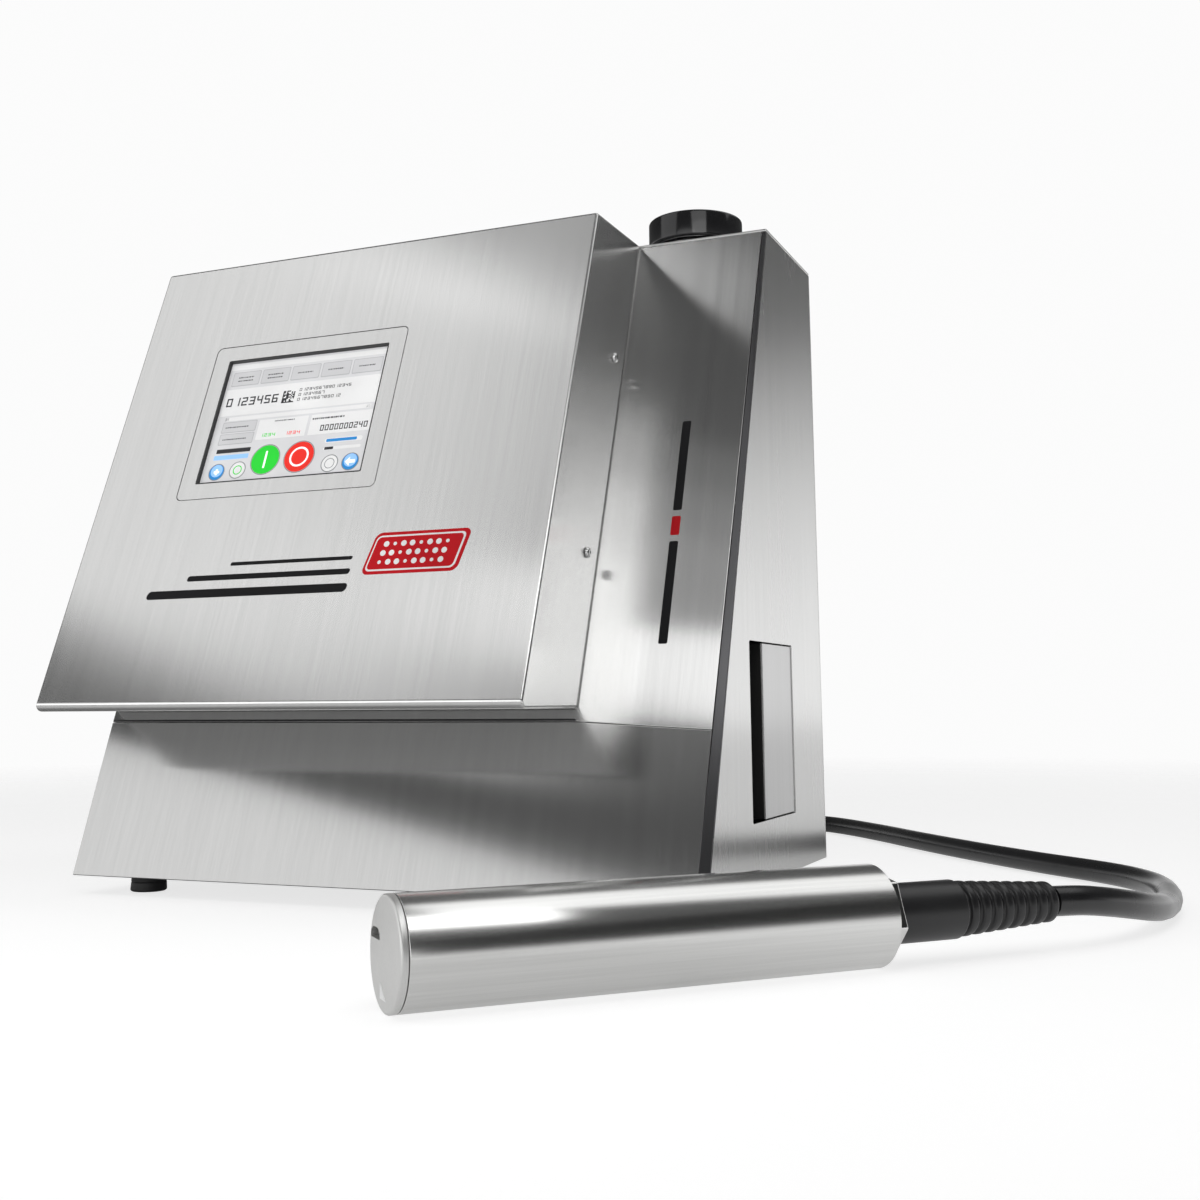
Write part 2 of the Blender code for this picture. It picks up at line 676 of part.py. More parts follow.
# ---------------------------------------------------------------- rear fittings
def rear_fittings():
    back = CABINET_BACK
    face = back + GAP
    inlet = box(
        "mains_inlet", (INLET_CENTRE[0] - 0.0135, back - 0.0200, INLET_CENTRE[1] - 0.0100),
        (INLET_CENTRE[0] + 0.0135, back + 0.0025, INLET_CENTRE[1] + 0.0185), BLACK_PLASTIC,
    )
    flange = box(
        "inlet_flange", (INLET_CENTRE[0] - 0.0245, face, INLET_CENTRE[1] - 0.0125),
        (INLET_CENTRE[0] + 0.0245, back + 0.0025, INLET_CENTRE[1] + 0.0205), cutter=True,
    )
    cut(inlet, flange, "UNION")
    drawer_low = (INLET_CENTRE[0] - 0.0085, back - 0.0140, INLET_CENTRE[1] + 0.0106)
    drawer_high = (INLET_CENTRE[0] + 0.0085, back + 0.0300, INLET_CENTRE[1] + 0.0168)
    cut(inlet, box("drawer_pocket", drawer_low, drawer_high, cutter=True))
    drawer = box(
        "fuse_drawer", (drawer_low[0] + GAP, drawer_low[1] + GAP, drawer_low[2] + GAP),
        (drawer_high[0] - GAP, back + 0.0032, drawer_high[2] - GAP), BLACK_PLASTIC,
    )
    groove = box(
        "drawer_groove", (INLET_CENTRE[0] - 0.0050, back + 0.0012, drawer_high[2] - 0.0016),
        (INLET_CENTRE[0] + 0.0050, back + 0.0024, drawer_high[2] + 0.001), cutter=True,
    )
    cut(drawer, groove)
    recess = box(
        "inlet_recess", (INLET_CENTRE[0] - 0.0118, back - 0.0150, INLET_CENTRE[1] - 0.0083),
        (INLET_CENTRE[0] + 0.0118, back + 0.01, INLET_CENTRE[1] + 0.0083), cutter=True,
    )
    cut(inlet, recess)
    for index, (across, along) in enumerate(((-0.0070, -0.0015), (0.0070, -0.0015), (0.0, 0.0025))):
        pin = box(
            f"inlet_pin_{index}",
            (INLET_CENTRE[0] + across - 0.0010, back - 0.0160, INLET_CENTRE[1] + along - 0.0020),
            (INLET_CENTRE[0] + across + 0.0010, back - 0.0060, INLET_CENTRE[1] + along + 0.0020),
            cutter=True,
        )
        cut(inlet, pin, "UNION")
    switch_body()
    gland()
    socket("signal_socket", PORT_CENTRE)
    fan()


def switch_body():
    """The power switch: a frame with a rocker that tips about a level axis in it."""
    back = CABINET_BACK
    frame = box(
        "switch_frame", (SWITCH_CENTRE[0] - 0.0095, back - 0.0180, SWITCH_CENTRE[1] - 0.0135),
        (SWITCH_CENTRE[0] + 0.0095, back + 0.0022, SWITCH_CENTRE[1] + 0.0135), BLACK_PLASTIC,
    )
    rim = box(
        "switch_rim", (SWITCH_CENTRE[0] - 0.0115, back + GAP, SWITCH_CENTRE[1] - 0.0155),
        (SWITCH_CENTRE[0] + 0.0115, back + 0.0022, SWITCH_CENTRE[1] + 0.0155), cutter=True,
    )
    cut(frame, rim, "UNION")
    pocket = box(
        "switch_pocket", (SWITCH_CENTRE[0] - 0.0078, back - 0.0150, SWITCH_CENTRE[1] - 0.0118),
        (SWITCH_CENTRE[0] + 0.0078, back + 0.01, SWITCH_CENTRE[1] + 0.0118), cutter=True,
    )
    cut(frame, pocket)
    pivot = bpy.data.objects.new("rocker_pivot", None)
    PARTS.objects.link(pivot)
    pivot.parent = FRAME
    pivot.location = (SWITCH_CENTRE[0], back - 0.0060, SWITCH_CENTRE[1])
    pivot.rotation_euler = (ROCKER_TIP, 0.0, 0.0)
    profile = [
        (-0.0050, -0.0030), (0.0050, -0.0030), (0.0085, 0.0030), (0.0100, 0.0098), (0.0050, 0.0079),
        (0.0, 0.0073), (-0.0050, 0.0079), (-0.0100, 0.0098), (-0.0085, 0.0030),
    ]
    flipped = [(depth, rise) for rise, depth in reversed(profile)]
    outline("power_rocker", [flipped], 0.0150, BLACK_PLASTIC, parent=pivot, matrix=SIDE_PLANE)


def gland():
    """The gland where the umbilical goes in: a nut outside and a body through the panel."""
    back = CABINET_BACK
    made = turned(
        "umbilical_gland",
        [(CORD_RADIUS + 0.0007, 0.0235), (0.0090, 0.0235), (0.0110, 0.0205), (0.0125, 0.0200),
         (0.0125, 0.0110), (0.0140, 0.0105), (0.0140, GAP), (0.0100, GAP), (0.0100, -0.0120),
         (CORD_RADIUS + 0.0007, -0.0120)],
        BLACK_PLASTIC, steps=24,
    )
    made.location = (GLAND_CENTRE[0], back, GLAND_CENTRE[1])
    made.rotation_euler = (math.radians(-90), 0.0, 0.0)


def socket(name, centre):
    """A round threaded signal socket with a hollow front."""
    made = turned(
        name,
        [(0.0, 0.0), (0.0045, 0.0), (0.0045, 0.0090), (0.0060, 0.0090), (0.0060, 0.0030), (0.0092, 0.0030),
         (0.0092, GAP), (0.0070, GAP), (0.0070, -0.0100), (0.0, -0.0100)],
        ZINC, steps=20,
    )
    made.location = (centre[0], CABINET_BACK, centre[1])
    made.rotation_euler = (math.radians(-90), 0.0, 0.0)


def fan():
    """A square axial fan behind the rear slots: frame, rotor hub and blades."""
    half = FAN_SIZE / 2
    front = CABINET_BACK - SHEET - GAP - FAN_DEPTH
    middle = front + FAN_DEPTH / 2
    frame = box(
        "fan_frame", (FAN_CENTRE[0] - half, front, FAN_CENTRE[1] - half),
        (FAN_CENTRE[0] + half, front + FAN_DEPTH, FAN_CENTRE[1] + half), BLACK_PLASTIC, edge=0.003,
    )
    cut(frame, rod(
        "fan_duct", (FAN_CENTRE[0], middle, FAN_CENTRE[1]), 0.0375, 0.05, "y", sides=32, cutter=True,
    ))
    strut = box(
        "fan_strut", (FAN_CENTRE[0] - 0.0385, front + 0.0005, FAN_CENTRE[1] - 0.003),
        (FAN_CENTRE[0] + 0.0385, front + 0.0030, FAN_CENTRE[1] + 0.003), cutter=True,
    )
    cut(frame, strut, "UNION")
    hub_disc = rod(
        "fan_motor_plate", (FAN_CENTRE[0], front + 0.00175, FAN_CENTRE[1]), 0.016, 0.0025, "y", cutter=True,
    )
    cut(frame, hub_disc, "UNION")
    rotor = rod(
        "fan_rotor", (FAN_CENTRE[0], middle + 0.001, FAN_CENTRE[1]), 0.0165, 0.0170, "y", BLACK_PLASTIC,
    )
    for index in range(FAN_BLADES):
        blade = box(
            f"fan_blade_{index}", (-0.0065, -0.0009, 0.0), (0.0065, 0.0009, 0.0210),
            cutter=True, parent=rotor,
        )
        turn = 2 * math.pi * index / FAN_BLADES
        blade.location = (0.0250 * math.sin(turn), 0.0, 0.0250 * math.cos(turn))
        blade.rotation_euler = (
            Matrix.Rotation(turn, 3, "Y") @ Matrix.Rotation(BLADE_PITCH, 3, "Z")
        ).to_euler()
        cut(rotor, blade, "UNION")


# ---------------------------------------------------------------- inside the cabinet
def internals():
    floor = FOOT_HEIGHT + SHEET + GAP
    tank(
        "ink_tank", (0.085, -0.0150, floor), (0.170, 0.0780, 0.150), (0.139, 0.040),
    )
    tank(
        "solvent_tank", (-0.030, -0.0400, floor), (0.070, 0.0500, 0.135), (0.020, 0.005),
    )
    box(
        "power_supply", (-0.185, 0.0100, floor + 0.060), (-0.090, 0.0900, floor + 0.180), ZINC, edge=0.001,
    )
    box(
        "main_board", (-0.160, 0.0300, 0.2300), (0.060, 0.0320, 0.3600), BOARD_GREEN,
    )
    rod("ink_filter", (-0.060, 0.0850, 0.0600), 0.014, 0.070, "z", NATURAL_PLASTIC, edge=0.002)
    block = box("valve_block", (0.035, 0.0620, 0.1500), (0.075, 0.0880, 0.1720), STEEL, edge=0.0008)
    for index in range(3):
        across = 0.0415 + index * 0.0135
        cut(block, rod(
            f"valve_coil_{index + 1}", (across, 0.0750, 0.1820), 0.0058, 0.0240, "z", sides=16, cutter=True,
        ), "UNION")
    pump()


def tank(name, low, high, neck):
    """A moulded tank with a short neck."""
    made = box(name, low, high, NATURAL_PLASTIC)
    spout = rod(
        name + "_spout", (neck[0], neck[1], high[2] + 0.005), 0.016, 0.022, "z", cutter=True,
    )
    cut(made, spout, "UNION")
    bevel(made, 0.004, 2, 60)


def pump():
    """The ink pump: motor, coupling that turns with the shaft, and the gear pump's head."""
    x, level = PUMP_CENTRE
    rod("pump_motor", (x, -0.0030, level), 0.019, 0.0500, "y", BLACK_PLASTIC, edge=0.0015)
    coupling = rod("pump_coupling", (x, 0.0290, level), 0.0090, 0.0120, "y", BRASS, sides=20)
    for turn in (0, 1, 2):
        notch = box(
            f"coupling_notch_{turn}", (-0.0016, -0.0070, 0.0060), (0.0016, 0.0070, 0.0120), cutter=True,
            parent=coupling,
        )
        angle = 2 * math.pi * turn / 3
        notch.location = (0.0090 * math.sin(angle), 0.0, 0.0090 * math.cos(angle))
        notch.rotation_euler = (0.0, angle, 0.0)
        cut(coupling, notch)
    rod("pump_head", (x, 0.0490, level), 0.0170, 0.0260, "y", STEEL, edge=0.0015)


# ---------------------------------------------------------------- printhead
HEAD = bpy.data.objects.new("printhead_axis", None)
PARTS.objects.link(HEAD)
HEAD.parent = FRAME
HEAD.location = (*HEAD_FRONT, HEAD_RADIUS)
HEAD.rotation_euler = (0.0, math.radians(90), HEAD_YAW)


def along_head(made, distance=0.0):
    """Places a piece on the head's axis: its local Z runs back along the head and its X down."""
    made.parent = HEAD
    made.location = (0.0, 0.0, distance)
    return made


def head_box(name, low, high, surface=None, cutter=False, edge=0.0):
    """A box in the head's terms: (distance back, left, up) of its two corners."""
    return box(
        name, (-high[2], low[1], low[0]), (-low[2], high[1], high[0]), surface,
        edge=edge, parent=HEAD, cutter=cutter,
    )


def printhead_cover():
    """The tube and its front cap slide forward off the head together."""
    cap_depth = 0.0060
    along_head(turned(
        "head_cover_tube",
        [(HEAD_RADIUS - HEAD_WALL, HEAD_LENGTH), (HEAD_RADIUS, HEAD_LENGTH), (HEAD_RADIUS, 0.0032),
         (HEAD_RADIUS - HEAD_WALL, 0.0032)],
        STEEL, steps=40,
    ))
    inner = HEAD_RADIUS - HEAD_WALL - GAP
    cap = along_head(turned(
        "head_cover_cap",
        [(0.0, cap_depth + 0.0030), (inner, cap_depth + 0.0030), (inner, 0.0032 - GAP),
         (HEAD_RADIUS, 0.0032 - GAP), (HEAD_RADIUS, 0.0008), (HEAD_RADIUS - 0.0008, 0.0), (0.0, 0.0)],
        STEEL, steps=40,
    ))
    slot = head_box("jet_slot", (-0.01, 0.0070, 0.0035), (0.03, 0.0190, 0.0076), cutter=True)
    cut(cap, slot)


def printhead_core():
    """The head's frame and what makes, charges, steers and catches the drops."""
    jet = (0.0045, 0.0056)
    length = HEAD_LENGTH - 0.0005
    head_box(
        "head_rail", (0.0250, -0.0155, -0.0090), (length - 0.0180, 0.0155, -0.0050), STEEL, edge=0.0006,
    )
    up = -0.0050 + GAP
    head_box(
        "nozzle_block", (0.1450, jet[0] - 0.0070, up), (0.1800, jet[0] + 0.0070, jet[1] + 0.0060), STEEL,
        edge=0.0008,
    )
    electrode = head_box(
        "charge_electrode", (0.1320, jet[0] - 0.0050, up), (0.1390, jet[0] + 0.0050, jet[1] + 0.0045),
        CERAMIC,
    )
    cut(electrode, head_box(
        "charge_slot", (0.12, jet[0] - 0.0008, jet[1] - 0.0030), (0.15, jet[0] + 0.0008, jet[1] + 0.01),
        cutter=True,
    ))
    head_box(
        "deflection_plate_high", (0.0720, jet[0] + 0.0075, up), (0.1220, jet[0] + 0.0090, jet[1] + 0.0050),
        STEEL,
    )
    head_box(
        "deflection_plate_ground", (0.0720, jet[0] - 0.0060, up), (0.1220, jet[0] - 0.0045, jet[1] + 0.0050),
        STEEL,
    )
    gutter = head_box(
        "gutter_block", (0.0300, jet[0] - 0.0035, up), (0.0420, jet[0] + 0.0020, jet[1] + 0.0025), STEEL,
    )
    cut(gutter, head_box(
        "gutter_mouth", (0.0360, jet[0] - 0.0010, jet[1] - 0.0010), (0.05, jet[0] + 0.0010, jet[1] + 0.0010),
        cutter=True,
    ))


def printhead_tail():
    """The rear flange, the sleeve and the ribbed strain relief where the umbilical comes out."""
    middle = HEAD_LENGTH + GAP + HEX_LENGTH / 2
    flange = along_head(rod(
        "head_rear_flange", (0, 0, 0), HEX_FLATS / math.sqrt(3), HEX_LENGTH, "z", STEEL, sides=6,
    ), middle)
    flange.rotation_euler = (0.0, 0.0, math.radians(40))
    plug = along_head(rod(
        "rear_plug", (0, 0, 0), HEAD_RADIUS - HEAD_WALL - 0.0006, 0.0180, "z", sides=32, cutter=True,
    ), HEAD_LENGTH + 0.0020 - 0.0090)
    cut(flange, plug, "UNION")
    bevel(flange, 0.0007)
    start = HEAD_LENGTH + HEX_LENGTH + 2 * GAP
    along_head(turned(
        "head_sleeve",
        [(0.0, SLEEVE_LENGTH), (SLEEVE_RADIUS - 0.0008, SLEEVE_LENGTH),
         (SLEEVE_RADIUS, SLEEVE_LENGTH - 0.0008), (SLEEVE_RADIUS, 0.0), (0.0, 0.0)],
        BLACK_PLASTIC, steps=28,
    ), start)
    boot_profile(start + SLEEVE_LENGTH + GAP)


def boot_profile(start):
    ribs = 8
    pitch = BOOT_LENGTH / ribs
    base = SLEEVE_RADIUS - 0.0006
    profile = [(CORD_RADIUS + 0.0004, BOOT_LENGTH)]
    for index in reversed(range(ribs)):
        share = (index + 0.5) / ribs
        outer = base + (BOOT_END_RADIUS - base) * share
        low = index * pitch
        profile += [
            (outer - 0.0003, low + pitch * 0.92), (outer, low + pitch * 0.80),
            (outer, low + pitch * 0.30), (outer - 0.0013, low + pitch * 0.22),
        ]
        if index:
            profile.append((outer - 0.0012, low + pitch * 0.02))
    profile += [(base - 0.0013, 0.0), (CORD_RADIUS + 0.0004, 0.0)]
    along_head(turned("strain_relief", profile, BLACK_RUBBER, steps=18), start)


# ---------------------------------------------------------------- umbilical
def umbilical():
    tube("umbilical_run", CORD_ROUTE, CORD_RADIUS, BLACK_RUBBER, 0.026)
    tube("umbilical_tail", TAIL_ROUTE, CORD_RADIUS, BLACK_RUBBER, 0.018)
    outer = COIL_RADIUS + CORD_RADIUS + GAP
    inner = COIL_RADIUS - CORD_RADIUS - GAP
    flat, corner = 0.0045, 0.0040
    ring = turned(
        "umbilical_coil",
        [(COIL_RADIUS - flat, COIL_HEIGHT), (COIL_RADIUS + flat, COIL_HEIGHT),
         (outer, COIL_HEIGHT - corner), (outer, corner), (COIL_RADIUS + flat, GAP),
         (COIL_RADIUS - flat, GAP), (inner, corner), (inner, COIL_HEIGHT - corner)],
        BLACK_RUBBER, steps=36,
    )
    ring.location = (*COIL_CENTRE, 0.0)


side_panels()
front_sheets()
top_and_base()
rear_panel()
air_intake()
display_housing()
display_stack()
housing_flanges()
screw_clearance_holes()
filler()
rear_fittings()
internals()
printhead_cover()
printhead_core()
printhead_tail()
umbilical()
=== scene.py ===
"""Looks of the date code inkjet printer: steel cabinet, lit touch screen, printhead and umbilical.

Everything is placed in the cabinet's own frame, as in the CAD, and moved by SHIFT from there.
"""

import math
import random

import bmesh
import bpy
from mathutils import Matrix, Vector


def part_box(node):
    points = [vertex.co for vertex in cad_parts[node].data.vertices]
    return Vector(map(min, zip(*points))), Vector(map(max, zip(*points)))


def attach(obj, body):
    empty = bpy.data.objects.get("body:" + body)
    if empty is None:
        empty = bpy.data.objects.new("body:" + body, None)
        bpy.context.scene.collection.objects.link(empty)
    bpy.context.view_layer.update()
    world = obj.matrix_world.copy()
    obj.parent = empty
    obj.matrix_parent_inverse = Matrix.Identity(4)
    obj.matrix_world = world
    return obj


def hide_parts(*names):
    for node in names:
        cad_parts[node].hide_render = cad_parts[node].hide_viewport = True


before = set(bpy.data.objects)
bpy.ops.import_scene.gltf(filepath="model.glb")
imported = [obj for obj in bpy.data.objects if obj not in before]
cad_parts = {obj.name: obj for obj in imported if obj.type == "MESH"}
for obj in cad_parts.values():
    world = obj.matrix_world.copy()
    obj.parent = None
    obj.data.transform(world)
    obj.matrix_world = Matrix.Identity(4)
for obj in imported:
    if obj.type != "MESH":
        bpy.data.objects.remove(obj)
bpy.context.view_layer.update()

# ---- dimensions shared with the CAD, in metres
SHEET = 0.0015
CABINET_HALF_WIDTH = 0.196
CABINET_FRONT = -0.1185
CABINET_BACK = 0.1185
CABINET_TOP = 0.392
FOOT_HEIGHT = 0.011
FOOT_X = 0.164
FOOT_Y = {"front": -0.0865, "rear": 0.0935}
LEAN = math.radians(19.57)

KNEE_HEIGHT = 0.0985
# The black strip at the knee is painted shadow in the joint under the housing.
KNEE_SHADOW_LOW = (0.0002, 0.0001)
KNEE_SHADOW_HIGH = (0.0014, 0.0008)

HOUSING_LEFT = -0.196
HOUSING_RIGHT = 0.114
HOUSING_BOTTOM = 0.1055
HOUSING_DEPTH = 0.0685
HOUSING_BEND = 0.0038
SCREW_HEIGHTS = {"upper": 0.3095, "lower": 0.19}
SCREW_FORWARD = 0.0162
SCREW_BORE = 0.0018

SCREEN_WIDTH = 0.1152
SCREEN_HEIGHT = 0.0868
SCREEN_OFFSET = (0.0705, 0.1417)
FRAME_BORDER = (0.0115, 0.0107)

LOUVER_Y = (-0.0386, 0.0487)
LOUVER_Z = (0.0435, 0.1413)
LOUVER_START = LOUVER_Y[0] + 0.0269

CAP_CENTRE = (0.139, 0.052)
CAP_RADIUS = 0.03
CAP_BASE = 0.005
CAP_HEIGHT = 0.0165
NECK_RADIUS = 0.0235
NECK_BORE = 0.019

HEAD_FRONT = (0.1486, -0.3346)
HEAD_YAW = math.radians(46.74)
HEAD_RADIUS = 0.0207
HEAD_LENGTH = 0.2064
HEAD_WALL = 0.0012
HEX_FLATS = 0.0325
HEX_LENGTH = 0.0049
HEX_TURN = 40
SLEEVE_RADIUS = 0.0122
SLEEVE_LENGTH = 0.0352
BOOT_LENGTH = 0.051
BOOT_END_RADIUS = 0.0085
CORD_RADIUS = 0.0065
GAP = 0.0003

REAR_LOW, REAR_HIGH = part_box("rear_panel")
SHIFT = Vector(((REAR_LOW.x + REAR_HIGH.x) / 2, REAR_HIGH.y - CABINET_BACK, 0.0))
MOVE = Matrix.Translation(SHIFT)
UP, ACROSS = (0.0, 0.0, 1.0), (1.0, 0.0, 0.0)
HEAD_DIRECTION = (math.cos(HEAD_YAW), math.sin(HEAD_YAW), 0.0)
ALONG_HEAD = {"grain": HEAD_DIRECTION, "spare": UP}


def add_object(name, data):
    made = bpy.data.objects.new(name, data)
    bpy.context.scene.collection.objects.link(made)
    return made


# ---- camera, at the photograph's viewing angle
EYE = Vector((0.42276, -0.789, 0.10797))
LOOK = Vector((-0.3813884, 0.9113654, 0.1547775))
RIGHT = Vector((0.922028, 0.387058, -0.0071095))
FOCAL_LENGTH = 42.75
FRAME_SHIFT_DOWN = -0.1


def add_camera():
    data = bpy.data.cameras.new("camera")
    data.sensor_width = 36.0
    data.lens = FOCAL_LENGTH
    data.shift_y = FRAME_SHIFT_DOWN
    data.clip_start = 0.01
    camera = add_object("camera", data)
    turn = Matrix((RIGHT, RIGHT.cross(LOOK), -LOOK)).transposed().to_4x4()
    camera.matrix_world = Matrix.Translation(EYE + SHIFT) @ turn
    bpy.context.scene.camera = camera


add_camera()


# ---- materials
def feed(node, **values):
    """Sets or links a node's inputs by name, as in From_Min=0.3. Other names are its settings."""
    for key, value in values.items():
        socket = node.inputs.get(key.replace("_", " "))
        if isinstance(value, bpy.types.NodeSocket):
            node.id_data.links.new(value, socket)
        elif socket is not None:
            socket.default_value = value
        else:
            setattr(node, key, value)
    return node


class Surface:
    """A Principled material under construction, with short calls for the nodes that feed it."""

    def __init__(self, name, colour, roughness, metallic=0.0, **settings):
        self.material = bpy.data.materials.new(name)
        self.material.use_nodes = True
        self.tree = self.material.node_tree
        self.shader = self.tree.nodes["Principled BSDF"]
        feed(self.shader, Base_Color=(*colour, 1.0), Roughness=roughness, Metallic=metallic, **settings)

    def node(self, kind, **values):
        return feed(self.tree.nodes.new(kind), **values)

    def coordinates(self):
        return self.node("ShaderNodeTexCoord").outputs["Object"]

    def place(self, scale=(1.0, 1.0, 1.0), turn=0.0, lean=0.0):
        """Object coordinates, turned about Z or leaned back about X, and then scaled."""
        turned = self.node("ShaderNodeMapping", Vector=self.coordinates(), Rotation=(lean, 0.0, -turn))
        return self.node("ShaderNodeMapping", Vector=turned.outputs["Vector"], Scale=scale).outputs["Vector"]

    def noise(self, vector, scale=1.0, detail=3.0):
        made = self.node("ShaderNodeTexNoise", Vector=vector, Scale=scale, Detail=detail, Roughness=0.55)
        return made.outputs["Fac"]

    def ranged(self, value, low, high, start=0.3, end=0.7):
        made = self.node(
            "ShaderNodeMapRange", Value=value, From_Min=start, From_Max=end, To_Min=low, To_Max=high)
        return made.outputs["Result"]

    def total(self, first, second, operation="ADD"):
        made = self.node("ShaderNodeMath", operation=operation)
        for source, target in zip((first, second), made.inputs):
            self.tree.links.new(source, target)
        return made.outputs["Value"]

    def blend(self, value, first, second):
        made = self.node("ShaderNodeMix", data_type="RGBA", Factor=value, A=(*first, 1.0), B=(*second, 1.0))
        return made.outputs["Result"]

    def bump(self, height, strength, distance):
        made = self.node("ShaderNodeBump", Height=height, Strength=strength, Distance=distance)
        feed(self.shader, Normal=made.outputs["Normal"])


def shade(colour, factor):
    return tuple(min(1.0, channel * factor) for channel in colour)


STREAK_TONE = 0.03
STREAK_ROUGHNESS = 0.005
STREAK_RELIEF = 0.01
MOTTLE_ROUGHNESS = 0.006


def brushed(
    name, tint, roughness, grain, turn=0.0, anisotropic=0.95, contrast=1.0, lean=0.0,
):
    """Brushed metal: streaks along the grain in colour, roughness and relief, and slow mottling over them.

    grain is the scale along each axis, small along the grain and large across it.
    """
    made = Surface(name, tint, roughness, 1.0, Anisotropic=anisotropic)
    place = made.place(grain, turn, lean)
    fine = made.noise(place, 1.0, 2.0)
    coarse = made.noise(place, 0.16, 3.0)
    mottle = made.noise(made.place(), 9.0, 4.0)
    streaks = made.ranged(made.total(fine, coarse), 0.0, 1.0, 0.75, 1.25)
    tone, spread = STREAK_TONE * contrast, STREAK_ROUGHNESS * contrast
    uneven = made.ranged(coarse, roughness - spread, roughness + spread)
    tangent = made.node("ShaderNodeTangent", direction_type="UV_MAP", uv_map="grain")
    feed(
        made.shader, Base_Color=made.blend(streaks, shade(tint, 1 - tone), shade(tint, 1 + tone)),
        Roughness=made.total(uneven, made.ranged(mottle, -MOTTLE_ROUGHNESS, MOTTLE_ROUGHNESS)),
        Tangent=tangent.outputs["Tangent"],
    )
    made.bump(fine, STREAK_RELIEF * contrast, 0.00001)
    return made.material


def moulded(name, colour, roughness, texture=900.0, relief=0.12, slot="black_plastic", **settings):
    """Moulded plastic or rubber: a fine spark texture, faint mottling and dust in the colour."""
    made = Surface(name, colour, roughness, 0.0, **settings)
    place = made.place()
    slow = made.noise(place, 22.0, 5.0)
    dusty = made.blend(made.ranged(slow, 0.0, 1.0), shade(colour, 0.85), shade(colour, 1.25))
    feed(made.shader, Base_Color=dusty, Roughness=made.ranged(slow, roughness - 0.05, roughness + 0.07))
    made.bump(made.noise(place, texture, 2.0), relief, 0.00008)
    return made.material


def lit(name, colour, strength, edge=0.9):
    """A lit area of the display: it glows, with faint unevenness of the backlight, under its glass."""
    made = Surface(name, colour, 0.35, 0.0, Specular_IOR_Level=0.15, Coat_Weight=0.12, Coat_Roughness=0.05)
    slow = made.noise(made.place(), 30.0, 2.0)
    mixed = made.blend(made.ranged(slow, 0.0, 1.0), shade(colour, edge), colour)
    feed(made.shader, Base_Color=mixed, Emission_Color=mixed, Emission_Strength=strength)
    return made.material


def grey(level):
    return (level, level, level)


def black(level):
    """A black that is a little blue."""
    return (level, level, level + 0.001)


VERTICAL_GRAIN = (1300.0, 1300.0, 12.0)
LEVEL_GRAIN = (12.0, 1300.0, 1300.0)
HEAD_GRAIN = (14.0, 1300.0, 1300.0)
TURNED_GRAIN = (1500.0, 1500.0, 1500.0)
FACED_GRAIN = (900.0, 900.0, 900.0)

STEEL_TINT = (0.69, 0.69, 0.685)
HOUSING_STEEL = brushed("housing_steel", (0.7, 0.7, 0.695), 0.26, VERTICAL_GRAIN, lean=LEAN)
FRONT_STEEL = brushed("front_steel", STEEL_TINT, 0.17, VERTICAL_GRAIN, lean=LEAN)
PANEL_STEEL = brushed("panel_steel", STEEL_TINT, 0.27, VERTICAL_GRAIN)
TOP_STEEL = brushed("top_steel", STEEL_TINT, 0.3, LEVEL_GRAIN)
# The housing's underside gets a darker grey steel than the rest: painted shade.
SHADED_UNDER_STEEL = brushed("under_steel_painted_shade", grey(0.5), 0.45, LEVEL_GRAIN, anisotropic=0.5)
# The corner trim's steel is coloured almost black: painted shade for the dark strip along the corner.
SHADED_TRIM_STEEL = brushed("trim_steel_painted_shade", (0.13, 0.13, 0.135), 0.34, VERTICAL_GRAIN, lean=LEAN)
# The louver's steel is a darker copy of the side panels' steel: painted shade for its tilt.
SHADED_LOUVER_STEEL = brushed("louver_steel_painted_shade", grey(0.58), 0.3, VERTICAL_GRAIN)
HEAD_STEEL = brushed(
    "head_steel", (0.74, 0.74, 0.73), 0.19, HEAD_GRAIN, HEAD_YAW, 0.7, 1.3)
FACED_STEEL = brushed(
    "faced_steel", (0.76, 0.76, 0.75), 0.46, FACED_GRAIN, 0.0, 0.0, 0.6)
PLATED = brushed("plated_sheet", (0.55, 0.56, 0.57), 0.4, VERTICAL_GRAIN, anisotropic=0.2)
SCREW_STEEL = brushed("screw_steel", grey(0.62), 0.25, TURNED_GRAIN, anisotropic=0.0)
BRASS = brushed("turned_brass", (0.72, 0.52, 0.22), 0.28, TURNED_GRAIN, anisotropic=0.0)
RUBBER = moulded("black_rubber", black(0.018), 0.5, 1300.0, 0.25, slot="black_rubber")
JACKET = moulded("cord_jacket", black(0.013), 0.27, 700.0, 0.1)
BOOT_RUBBER = moulded("boot_rubber", black(0.012), 0.38, 1200.0, 0.15, slot="black_rubber")
SATIN_BLACK = moulded("satin_black", black(0.016), 0.36, 1400.0, 0.15)
CAP_BLACK = moulded("cap_black", black(0.012), 0.12, 500.0, 0.02, slot="cap_plastic")
TANK_PLASTIC = moulded("tank_plastic", (0.78, 0.79, 0.75), 0.42, 800.0, 0.1)
CERAMIC = moulded("ceramic", (0.86, 0.85, 0.82), 0.25, 600.0, 0.05)
FILTER_FOAM = moulded("filter_foam", black(0.01), 0.85, 260.0, 1.0)
BOARD = moulded("circuit_board", (0.03, 0.2, 0.09), 0.35, 300.0, 0.3)
# A near-black for blocks put into slots where there is only shade: painted shade.
SHADE_BLACK = moulded("painted_slot_shade", grey(0.004), 0.6, 400.0, 0.1)


# ---- outlines and places
def polar(radius, degrees, centre=(0.0, 0.0)):
    turn = math.radians(degrees)
    return centre[0] + radius * math.cos(turn), centre[1] + radius * math.sin(turn)


def circle(radius, steps, centre=(0.0, 0.0), start=0.0):
    return [polar(radius, start + 360 * step / steps, centre) for step in range(steps)]


